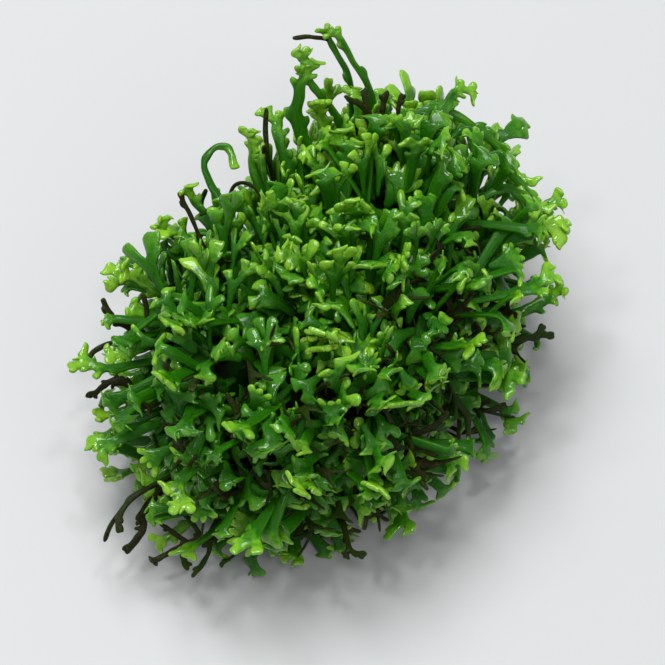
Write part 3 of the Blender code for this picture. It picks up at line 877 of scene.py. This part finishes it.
def placed_leaf(leaf):
    """A broad leaf that rises from the cushion and lies over towards its turn."""
    rng = random.Random(leaf.seed)
    outward = direction(*leaf.foot)
    seen_from = (outward + TOWARDS_EYE).normalized()
    up = (PICTURE_UP - seen_from * PICTURE_UP.dot(seen_from)).normalized()
    turn, lean = math.radians(leaf.turn), math.radians(leaf.lean)
    sideways = up * math.cos(turn) - seen_from.cross(up) * math.sin(turn)
    heading = seen_from * math.cos(lean) + sideways * math.sin(lean)
    facing = (seen_from - heading * seen_from.dot(heading)).normalized()
    across = facing.cross(heading)
    foot = on_dome(outward, LEAF_DEPTH)
    blade = Blade(rng.uniform(*LEAF_THICKNESS) * MM)
    corners = blade.pair(foot, across * LEAF_HALF_WIDTH * FOOT_SHARE, facing, 0)
    grow_fan(blade, rng, corners, foot, heading, across, LEAF_HALF_WIDTH, leaf.length * MM,
             leaf.lobes, rng.uniform(*LEAF_CURL))
    return blade_mesh(f"leaf_{leaf.seed:02d}", blade, 2, column_of(leaf.tone))


# ---------------------------------------------------------------- node helpers


class Nodes:
    """Adds nodes to a tree. What feeds an input is a socket to link or a plain value."""

    def __init__(self, tree):
        self.tree = tree

    def feed(self, inputs, values):
        for key, value in values.items():
            if isinstance(value, bpy.types.NodeSocket):
                self.tree.links.new(value, inputs[key])
            else:
                inputs[key].default_value = value

    def add(self, kind, settings=None, feeds=None):
        """The outputs of a new node with these settings and feeds."""
        node = self.tree.nodes.new(kind)
        for key, value in (settings or {}).items():
            setattr(node, key, value)
        self.feed(node.inputs, feeds or {})
        return node.outputs

    def math(self, operation, first, second=0.0, clamp=False):
        settings = {"operation": operation, "use_clamp": clamp}
        return self.add("ShaderNodeMath", settings, {0: first, 1: second})[0]

    def plus(self, first, second):
        return self.math("ADD", first, second)

    def minus(self, first, second):
        return self.math("SUBTRACT", first, second)

    def times(self, first, second, clamp=False):
        return self.math("MULTIPLY", first, second, clamp)

    def over(self, first, second):
        return self.math("DIVIDE", first, second)

    def larger(self, first, second):
        return self.math("MAXIMUM", first, second)

    def vector(self, operation, *values):
        feeds = dict(enumerate(values))
        return self.add("ShaderNodeVectorMath", {"operation": operation}, feeds)["Vector"]

    def scaled(self, vector, scale):
        feeds = {0: vector, "Scale": scale}
        return self.add("ShaderNodeVectorMath", {"operation": "SCALE"}, feeds)["Vector"]

    def dot(self, first, second):
        feeds = {0: first, 1: second}
        return self.add("ShaderNodeVectorMath", {"operation": "DOT_PRODUCT"}, feeds)["Value"]

    def xyz(self, x=0.0, y=0.0, z=0.0):
        return self.add("ShaderNodeCombineXYZ", feeds={0: x, 1: y, 2: z})[0]

    def parts(self, vector):
        return self.add("ShaderNodeSeparateXYZ", feeds={0: vector})

    def noise(self, place, scale, detail):
        return self.add("ShaderNodeTexNoise", feeds={"Vector": place, "Scale": scale, "Detail": detail})[0]

    def ease(self, value, low, high, start=0.0, end=1.0):
        """Runs smoothly from start to end while the value goes from low to high."""
        return self.add("ShaderNodeMapRange", {"interpolation_type": "SMOOTHSTEP"}, {
            "Value": value, "From Min": low, "From Max": high, "To Min": start, "To Max": end})["Result"]

    def blend(self, share, first, second):
        return self.add("ShaderNodeMix", {"data_type": "RGBA"}, {0: share, 6: first, 7: second})[2]

    def stored(self, name, kind="FLOAT"):
        return self.add("GeometryNodeInputNamedAttribute", {"data_type": kind}, {"Name": name})[0]

    def store(self, shape, name, value, kind, domain):
        return self.add("GeometryNodeStoreNamedAttribute", {"data_type": kind, "domain": domain}, {
            "Geometry": shape, "Name": name, "Value": value})[0]


def sockets(tree, inputs, outputs):
    """Gives a tree its sockets: an input by its value, or by its kind where it has none."""
    for name, value in inputs.items():
        if isinstance(value, str):
            tree.interface.new_socket(name, in_out="INPUT", socket_type=value)
            continue
        if isinstance(value, tuple):
            kind = COLOUR if len(value) == 4 else VECTOR
        else:
            kind = NUMBER if isinstance(value, float) else WHOLE_NUMBER
        tree.interface.new_socket(name, in_out="INPUT", socket_type=kind).default_value = value
    for name, kind in outputs.items():
        tree.interface.new_socket(name, in_out="OUTPUT", socket_type=kind)
    return tree.nodes.new("NodeGroupInput").outputs, tree.nodes.new("NodeGroupOutput").inputs


# ---------------------------------------------------------------- materials


def frond_skin_group():
    """Colours and relief of a blade, read from the skin map: tone by column, and along it painted shade at
    the foot and a paler tip.
    """
    tree = bpy.data.node_groups.new("frond_skin", "ShaderNodeTree")
    nodes = Nodes(tree)
    times, plus, minus, over, larger, ease, blend = (
        nodes.times, nodes.plus, nodes.minus, nodes.over, nodes.larger, nodes.ease, nodes.blend)
    given, result = sockets(tree, {
        "Old Colour": (0.017, 0.011, 0.004, 1),
        "Olive Colour": (0.014, 0.026, 0.003, 1),
        "Shade Colour": (0.013, 0.105, 0.001, 1),
        "Deep Colour": (0.038, 0.195, 0.002, 1),
        "Fresh Colour": (0.078, 0.320, 0.004, 1),
        "Yellow Colour": (0.165, 0.390, 0.004, 1),
        "Tip Colour": (0.250, 0.490, 0.024, 1),
        "Rim Colour": (0.340, 0.560, 0.085, 1),
        "Tip Start": 0.55,
        "Rim Share": 0.2,
        "Wall Shade": 0.45,
        "Old Below": 0.0,
    }, {"Colour": COLOUR, "Roughness": NUMBER, "Coat": NUMBER, "Height": NUMBER})
    place = nodes.parts(nodes.add("ShaderNodeUVMap", {"uv_map": SKIN_MAP})[0])
    scaled, along = times(place[0], SKIN_COLUMNS), place[1]
    column = nodes.math("FLOOR", scaled)
    across = minus(scaled, column)
    tone = over(column, SKIN_COLUMNS)
    hue = nodes.add("ShaderNodeTexWhiteNoise", {"noise_dimensions": "1D"}, {"W": column})["Value"]
    spot = nodes.xyz(plus(across, times(column, 3.7)), times(along, 4.0))
    mottle = nodes.noise(spot, 1.8, 3.0)
    grain = nodes.noise(spot, 8.0, 2.0)
    cells = nodes.add("ShaderNodeTexVoronoi", feeds={"Vector": spot, "Scale": 12.0})["Distance"]
    mottled_along = plus(along, times(minus(mottle, 0.5), 0.7))
    speckle = times(minus(grain, 0.5), 0.7)

    # the body: painted shade at the foot, fresh to yellow green further on, pale at a ripe tip
    fresh = blend(ease(hue, 0.35, 0.9), given["Fresh Colour"], given["Yellow Colour"])
    body = blend(ease(plus(tone, speckle), 0.15, 0.95), given["Deep Colour"], fresh)
    # painted shade: darker towards the foot, where a blade stands deep among the others
    body = blend(ease(mottled_along, 0.35, 0.85), given["Shade Colour"], body)
    tip_share = times(ease(mottled_along, given["Tip Start"], 1.0), ease(tone, 0.15, 0.8))
    body = blend(times(tip_share, 0.75), body, given["Tip Colour"])

    # the edge: a painted highlight along the rim in places, and painted shade on the wall round it
    side = nodes.math("ABSOLUTE", minus(across, 0.5))
    # painted highlight: a pale, wet-looking rim along the edges and at the tip
    rim = larger(ease(side, 0.29, 0.38), ease(along, 0.83, 0.92))
    rim = times(rim, ease(mottled_along, 0.45, 0.9, 0.0, given["Rim Share"]))
    rim = times(rim, ease(speckle, -0.12, 0.1, 0.25, 1.0))
    rim = times(rim, ease(tone, 0.05, 0.6, 0.25, 1.0), clamp=True)
    body = blend(rim, body, given["Rim Colour"])
    # painted shade: the side walls dulled towards the deep green
    wall = larger(ease(side, 0.36, 0.44), ease(along, 0.9, 0.98))
    body = blend(times(wall, given["Wall Shade"]), body, given["Deep Colour"])

    # the old ones: brown to olive all over
    old_end = plus(given["Old Below"], 0.05)
    old = minus(1.0, ease(tone, given["Old Below"], old_end))
    old = times(old, ease(grain, 0.3, 0.6, 0.8, 1.0))
    withered = blend(ease(hue, 0.3, 0.9), given["Old Colour"], given["Olive Colour"])
    nodes.feed(result, {
        "Colour": blend(old, body, withered),
        "Roughness": ease(mottle, 0.3, 0.7, 0.34, 0.58),
        "Coat": times(ease(mottled_along, 0.25, 0.85, 0.05, 0.75), minus(1.0, old)),
        "Height": plus(times(grain, 0.6), times(cells, 0.4)),
    })
    return tree


def new_material(name):
    """A material, what adds nodes to it, and the inputs of its shader."""
    material = bpy.data.materials.new(name)
    material.use_nodes = True
    tree = material.node_tree
    return material, Nodes(tree), tree.nodes["Principled BSDF"].inputs


def blade_material(name, skin, changes, scatter=0.4, specular=0.12):
    material, nodes, shader = new_material(name)
    looks = nodes.add("ShaderNodeGroup", {"node_tree": skin}, changes)
    bump = nodes.add("ShaderNodeBump", feeds={
        "Strength": 0.5, "Distance": 0.14 * MM, "Height": looks["Height"]})[0]
    nodes.feed(shader, {
        "Base Color": looks["Colour"],
        "Roughness": looks["Roughness"],
        "Normal": bump,
        "Coat Weight": looks["Coat"],
        "Coat Roughness": 0.08,
        "Coat IOR": 1.5,
        "Specular IOR Level": specular,
        "Subsurface Weight": scatter,
        "Subsurface Radius": (0.35, 1.0, 0.15),
        "Subsurface Scale": 0.4 * MM,
    })
    return material


def painted_shade_heart_material():
    """Painted shade for the clump's inside: a dark body, with a hint of stalks in it."""
    material, nodes, shader = new_material("heart_of_the_clump")
    place = nodes.add("ShaderNodeTexCoord")["Object"]
    patches = nodes.noise(place, 420.0, 4.0)
    stalks = nodes.noise(place, 2400.0, 3.0)
    dark = nodes.blend(nodes.ease(patches, 0.4, 0.62), (0.001, 0.016, 0.0006, 1), (0.006, 0.006, 0.002, 1))
    nodes.feed(shader, {
        "Base Color": nodes.blend(nodes.ease(stalks, 0.5, 0.7, 0.0, 0.5), dark, (0.004, 0.030, 0.002, 1)),
        "Roughness": nodes.ease(stalks, 0.3, 0.7, 0.7, 0.9),
        "Normal": nodes.add("ShaderNodeBump", feeds={
            "Strength": 0.8, "Distance": 0.2 * MM, "Height": stalks})[0],
        "Specular IOR Level": 0.05,
    })
    return material


# ---------------------------------------------------------------- the thicket


def thicket_tree():
    """Geometry nodes that plant blades over a surface and lean each of them its own way."""
    tree = bpy.data.node_groups.new("frond_thicket", "GeometryNodeTree")
    nodes = Nodes(tree)
    times, plus, minus, over, larger, ease = (
        nodes.times, nodes.plus, nodes.minus, nodes.over, nodes.larger, nodes.ease)
    given, result = sockets(tree, {
        "Geometry": SHAPE,
        "Blades": "NodeSocketCollection",
        "Spacing": 0.001,
        "Smallest": 0.8,
        "Largest": 1.2,
        "Least Lean": 0.1,
        "Most Lean": 0.75,
        "Twist": 0.55,
        "Pull Way": (0.0, 0.87, 0.5),
        "Pull": 0.8,
        "Favoured Way": (0.0, 0.87, 0.5),
        "Favour": 0.0,
        "None Below": 0.25,
        "All Above": 0.6,
        "Face Up": 0.0,
        "Gap Share": 0.0,
        "Gap Size": 0.0025,
        "Hollow Share": 0.7,
        "Oldest Tone": 0.1,
        "Freshest Tone": 1.0,
        "Patch Size": 0.004,
        "Floor Press": 0.001,
        "Skin": "NodeSocketMaterial",
        "Seed": 1,
    }, {"Geometry": SHAPE})
    where = nodes.add("GeometryNodeInputPosition")[0]

    def chance(low, high, offset, kind="FLOAT"):
        """A random value of each blade's own."""
        low_at, high_at, result_at = {"FLOAT": (2, 3, 1), "FLOAT_VECTOR": (0, 1, 0), "INT": (4, 5, 2)}[kind]
        return nodes.add("FunctionNodeRandomValue", {"data_type": kind}, {
            low_at: low, high_at: high, "Seed": plus(given["Seed"], offset)})[result_at]

    # where blades stand: on the favoured side, and not in the gaps and hollows
    normal = nodes.add("GeometryNodeInputNormal")[0]
    towards = nodes.dot(normal, given["Favoured Way"])
    away = ease(towards, given["None Below"], given["All Above"], 1.0, 0.0)
    way = nodes.vector("NORMALIZE", nodes.vector("SUBTRACT", where, HEART))
    gaps = ease(nodes.noise(way, over(GAP_REACH, given["Gap Size"]), 1.0), *GAP_EDGE, 1.0, 0.0)
    hollow = nodes.stored("hollow")
    gaps = larger(times(gaps, given["Gap Share"]), times(hollow, given["Hollow Share"]))
    favoured = minus(1.0, times(away, given["Favour"]))
    planted = nodes.add("GeometryNodeDistributePointsOnFaces", {"distribute_method": "POISSON"}, {
        "Mesh": given["Geometry"], "Distance Min": given["Spacing"], "Density Max": BLADES_PER_AREA,
        "Density Factor": times(minus(1.0, gaps), favoured), "Seed": given["Seed"]})
    outward = planted["Normal"]

    # how each leans, is pulled, faces the light and is spun
    wander = chance((-1, -1, -1), (1, 1, 1), 11, "FLOAT_VECTOR")
    along_normal = nodes.scaled(outward, nodes.dot(wander, outward))
    sideways = nodes.vector("NORMALIZE", nodes.vector("SUBTRACT", wander, along_normal))
    lean = chance(given["Least Lean"], given["Most Lean"], 12)
    heading = nodes.vector("ADD", nodes.scaled(outward, nodes.math("COSINE", lean)),
                           nodes.scaled(sideways, nodes.math("SINE", lean)))
    pull = times(ease(nodes.dot(outward, given["Pull Way"]), 0.1, 0.8), given["Pull"])
    heading = nodes.vector("ADD", heading, nodes.scaled(given["Pull Way"], pull))
    upright = nodes.add("FunctionNodeAlignRotationToVector", {"axis": "Z"}, {"Vector": heading})[0]
    lit_way = nodes.vector("ADD", outward, nodes.xyz(z=given["Face Up"]))
    faced = nodes.add("FunctionNodeAlignRotationToVector", {"axis": "Y", "pivot_axis": "Z"},
                      {"Rotation": upright, "Vector": lit_way})[0]
    spin = nodes.add("FunctionNodeAxisAngleToRotation", feeds={
        "Axis": (0, 0, 1), "Angle": times(chance(-1.0, 1.0, 13), given["Twist"])})[0]
    turn = nodes.add("FunctionNodeRotateRotation", {"rotation_space": "LOCAL"}, {0: faced, 1: spin})[0]
    kinds = nodes.add("GeometryNodeCollectionInfo", feeds={
        0: given["Blades"], "Separate Children": True, "Reset Children": True})[0]
    size = chance(given["Smallest"], given["Largest"], 14)
    shape = nodes.add("GeometryNodeInstanceOnPoints", feeds={
        "Points": planted["Points"], "Instance": kinds, "Pick Instance": True,
        "Instance Index": chance(0, 9999, 15, "INT"), "Rotation": turn,
        "Scale": nodes.xyz(size, size, size)})[0]

    # its tone: by chance, in patches, with painted light that makes it fresher at the back right and
    # painted shade that makes it duller in the hollows
    patch_and_painted_light = ease(nodes.noise(where, over(1.0, given["Patch Size"]), 1.0), 0.3, 0.7, -0.25, 0.25)
    # painted light: fresher towards the back right, the side the light falls on
    painted_light_side = nodes.dot(where, (0.7, 0.7, 0.0))
    patch_and_painted_light = plus(patch_and_painted_light, ease(painted_light_side, -12 * MM, 12 * MM, -0.12, 0.2))
    # painted shade: duller in the hollows between the tufts
    patch_and_painted_light = minus(patch_and_painted_light, times(hollow, 0.45))
    tone = plus(chance(given["Oldest Tone"], given["Freshest Tone"], 16), patch_and_painted_light)
    tone = nodes.add("ShaderNodeClamp", feeds={
        "Value": tone, "Min": given["Oldest Tone"], "Max": given["Freshest Tone"]})[0]
    shape = nodes.store(shape, "tone", tone, "FLOAT", "INSTANCE")
    shape = nodes.add("GeometryNodeRealizeInstances", feeds={0: shape})[0]
    column = nodes.math("FLOOR", times(nodes.stored("tone"), SKIN_COLUMNS - 0.01))
    skin = nodes.parts(nodes.stored(SKIN_MAP, "FLOAT_VECTOR"))
    mapped = nodes.xyz(over(plus(column, skin[0]), SKIN_COLUMNS), skin[1])
    shape = nodes.store(shape, SKIN_MAP, mapped, "FLOAT2", "CORNER")
    for name in ("tone", "hollow"):
        shape = nodes.add("GeometryNodeRemoveAttribute", feeds={0: shape, "Name": name})[0]

    # what reaches the floor lies flat along it
    spot = nodes.parts(where)
    press = given["Floor Press"]
    pressed = times(press, nodes.math("EXPONENT", minus(over(spot[2], press), 1.0)))
    low = nodes.math("LESS_THAN", spot[2], press)
    height = nodes.add("ShaderNodeMix", {"data_type": "FLOAT"}, {0: low, 2: spot[2], 3: pressed})[0]
    shape = nodes.add("GeometryNodeSetPosition", feeds={
        "Geometry": shape, "Position": nodes.xyz(spot[0], spot[1], height)})[0]
    shape = nodes.add("GeometryNodeSetMaterial", feeds={"Geometry": shape, "Material": given["Skin"]})[0]
    nodes.feed(result, {"Geometry": shape})
    return tree


def grow_blades(name, blades):
    """A collection of blades, each of its own shape, growing up from the origin."""
    rng = random.Random(blades.seed)
    collection = bpy.data.collections.new(name)
    bpy.context.scene.collection.children.link(collection)
    heading, across = Vector((0, 0, 1)), Vector((1, 0, 0))
    facing = heading.cross(across)
    place = Vector((0, 0, 1))  # well above the floor rule while it grows
    for number in range(blades.count):
        habit, forks, half_widths, lengths, bends = blades.kinds[number % len(blades.kinds)]
        half_width = rng.uniform(*half_widths) * MM
        fork_count = rng.choice(forks)
        length = rng.uniform(*lengths) * MM * blades.length_share
        bend = math.radians(rng.uniform(*bends)) / (1 + fork_count)
        blade = Blade(rng.uniform(*blades.thickness) * MM, blades.steps if fork_count else STEPS_PER_STRIP)
        corners = blade.pair(place, across * half_width * FOOT_SHARE, facing, 0)
        if habit is FAN_HABIT and rng.random() < LOBED_FAN_CHANCE:
            grow_fan(blade, rng, corners, place, heading, across, half_width, length * 1.15,
                     rng.choice((3, 3, 4, 5)), rng.uniform(-1.2, -0.5))
        else:
            grow_strip(blade, rng, rng, habit, corners, place, heading, across, half_width, length,
                       bend, fork_count, 0.0)
        mesh = blade_mesh(f"{name}_{number:02d}", blade, 1)
        mesh.transform(Matrix.Translation(-place))
        collection.objects.link(bpy.data.objects.new(mesh.name, mesh))
    return collection


def carrier(name, depth, lumps, seed, side=0):
    """The surface that blades are planted on: the dome less depth, with gentle lumps."""
    bm = bmesh.new()
    bmesh.ops.create_icosphere(bm, subdivisions=5, radius=1.0)
    ways = unit(np.array([v.co for v in bm.verts]))
    rng = np.random.default_rng(seed)
    middles = unit(rng.normal(0, 1, (LUMP_COUNT, 3)))
    rises = rng.uniform(-1, 1, LUMP_COUNT) * lumps
    lift = nearness(ways, middles.T, LUMP_SPREAD) @ rises
    reach = dome_reach(ways) + raised(ways, DIPS) - depth + lift
    hollow = bm.verts.layers.float.new("hollow")
    for vert, way, far, deep in zip(bm.verts, ways, reach, hollowness(ways)):
        vert.co = HEART + Vector(way) * float(far)
        vert[hollow] = float(deep)
    if side:
        beyond = [f for f in bm.faces if f.calc_center_median().x * side < 0]
        bmesh.ops.delete(bm, geom=beyond, context="FACES")
    bmesh.ops.recalc_face_normals(bm, faces=bm.faces)
    return mesh_of(bm, name)


def plant(name, tree, mesh, values):
    """Grows a thicket on the mesh with the tree's named inputs, as one plain mesh."""
    thing = shown(name, mesh)
    growth = thing.modifiers.new("growth", "NODES")
    growth.node_group = tree
    places = {item.name: item.identifier for item in tree.interface.items_tree
              if item.in_out == "INPUT"}
    for key, value in values.items():
        growth[places[key]] = value
    grown = evaluated_mesh(thing, name)
    thing.modifiers.remove(growth)
    thing.data = grown
    bpy.data.meshes.remove(mesh)
    return thing


# ---------------------------------------------------------------- stage


def make_floor():
    bm = bmesh.new()
    rim = [bm.verts.new((0, 0, 0)), bm.verts.new((FLOOR_RADIUS, 0, 0))]
    for turn in np.linspace(*FLOOR_TURNS):
        out = FLOOR_RADIUS + FLOOR_RISE * math.sin(turn)
        rim.append(bm.verts.new((out, 0, FLOOR_RISE - FLOOR_RISE * math.cos(turn))))
    edges = [bm.edges.new(pair) for pair in zip(rim, rim[1:])]
    bmesh.ops.spin(bm, geom=rim + edges, axis=(0, 0, 1), cent=(0, 0, 0), angle=2 * math.pi,
                   steps=96, use_merge=True)
    bmesh.ops.remove_doubles(bm, verts=bm.verts, dist=1e-6)
    bmesh.ops.recalc_face_normals(bm, faces=bm.faces)
    mesh = mesh_of(bm, "floor")
    if mesh.polygons[0].normal.z < 0:
        mesh.flip_normals()
    mesh.polygons.foreach_set("use_smooth", [True] * len(mesh.polygons))
    material, nodes, shader = new_material("pale_floor")
    nodes.feed(shader, {"Base Color": FLOOR_COLOUR, "Roughness": 0.6})
    mesh.materials.append(material)
    floor = shown("floor", mesh)


def make_lights():
    world = bpy.data.worlds.new("studio")
    bpy.context.scene.world = world
    world.use_nodes = True
    background = world.node_tree.nodes["Background"].inputs
    background["Color"].default_value = WORLD_COLOUR
    background["Strength"].default_value = WORLD_STRENGTH
    for name, place, size, power in LIGHTS:
        light = bpy.data.lights.new(name, "AREA")
        light.size = size
        light.energy = power
        lamp = shown(name, light)
        lamp.location = place
        lamp.rotation_mode = "QUATERNION"
        lamp.rotation_quaternion = (Vector(place) - HEART).to_track_quat("Z", "Y")


def make_camera():
    elevation = math.radians(CAMERA_ELEVATION)
    back = Vector((0, -math.cos(elevation), math.sin(elevation)))
    lens = bpy.data.cameras.new("camera")
    lens.lens = CAMERA_LENS
    lens.sensor_width = CAMERA_SENSOR
    lens.clip_start = 0.01
    lens.clip_end = 5.0
    camera = shown("camera", lens)
    camera.location = PICTURE_MIDDLE + back * CAMERA_DISTANCE
    camera.rotation_mode = "QUATERNION"
    camera.rotation_quaternion = back.to_track_quat("Z", "Y")
    bpy.context.scene.camera = camera


# ---------------------------------------------------------------- the clump


def hand_over(piece, slot, *nodes):
    """Hangs the piece on the root body and hides the nodes that it replaces. Its slot is not used."""
    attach(piece, "root")
    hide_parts(*nodes)


def make_clear_fronds(short, green, brown):
    """The fronds that stand clear: those that grow as their solids, and the drawn strands."""
    for name, fronds, grown, drawn, material, slot, columns, habit, half_width in (
        ("tall_fronds", TALL_FRONDS, TALL_FRONDS[2:3], TALL_STRANDS, green, "frond",
         (22, 50), TALL_HABIT, TALL_HALF_WIDTH),
        ("side_fronds", SHOULDER_FRONDS + SIDE_FRONDS, SIDE_FRONDS, SHOULDER_STRANDS + RIM_STRANDS,
         green, "frond", (30, 63), CLEAR_HABIT, CLEAR_HALF_WIDTH),
        ("short_fronds", short, short, (), green, "frond", (14, 60), CLEAR_HABIT, CLEAR_HALF_WIDTH),
        ("old_fronds", OLD_FRONDS, OLD_FRONDS, DARK_STRANDS, brown, "old_frond",
         (0, 12), OLD_HABIT, OLD_HALF_WIDTH),
    ):
        rng = random.Random(len(name))
        meshes = [clear_frond(frond, rng.randint(*columns), habit, half_width) for frond in grown]
        meshes += [strand(f"{name}_strand_{line.seed}", line, habit) for line in drawn]
        piece = joined(name, meshes, material)
        hand_over(piece, slot, *(frond.name for frond in fronds))


def make_leaves_and_tufts(short, green):
    tufted = (*SHOULDER_FRONDS, *SIDE_FRONDS, *short)
    for name, meshes in (
        ("broad_leaves", [placed_leaf(leaf) for leaf in LEAVES]),
        ("tufts", [mesh for frond in tufted for mesh in tuft(frond)]),
    ):
        piece = joined(name, meshes, green)
        hand_over(piece, "moss", "moss_cushion")


def make_painted_shade_heart():
    # a dark body under the thicket that paints the shade of its depths
    piece = shown("moss_heart", carrier("moss_heart", HEART_DEPTH, HEART_LUMPS, HEART_SEED))
    piece.data.materials.append(painted_shade_heart_material())
    soften_floor(piece.data, THICKET_PRESS)
    hand_over(piece, "moss", "moss_cushion")


def make_thicket(green, brown):
    tree = thicket_tree()
    grown = {name: grow_blades(name, blades) for name, blades in BLADE_SETS.items()}
    for name, depth, side, blades, old, changes in LAYERS:
        surface = carrier(name + "_carrier", depth * MM, LAYER_LUMPS, LAYER_SEED, side)
        piece = plant(name, tree, surface, {
            "Skin": brown if old else green, "Blades": grown[blades],
            "Floor Press": THICKET_PRESS, **changes})
        hand_over(piece, "moss", "moss_cushion")
    for blades in grown.values():
        for thing in list(blades.objects):
            bpy.data.objects.remove(thing)
        bpy.data.collections.remove(blades)


def main():
    bpy.context.scene.view_settings.view_transform = "Standard"
    skin = frond_skin_group()
    green = blade_material("thicket_green", skin, {})
    clear_green = blade_material("clear_frond_green", skin, {"Tip Start": 0.5})
    brown = blade_material("old_frond_brown", skin, {"Old Below": 0.75}, scatter=0.05, specular=0.08)
    short = spread_fronds()
    make_clear_fronds(short, clear_green, brown)
    make_leaves_and_tufts(short, green)
    make_painted_shade_heart()
    make_thicket(green, brown)
    make_floor()
    make_lights()
    make_camera()


main()
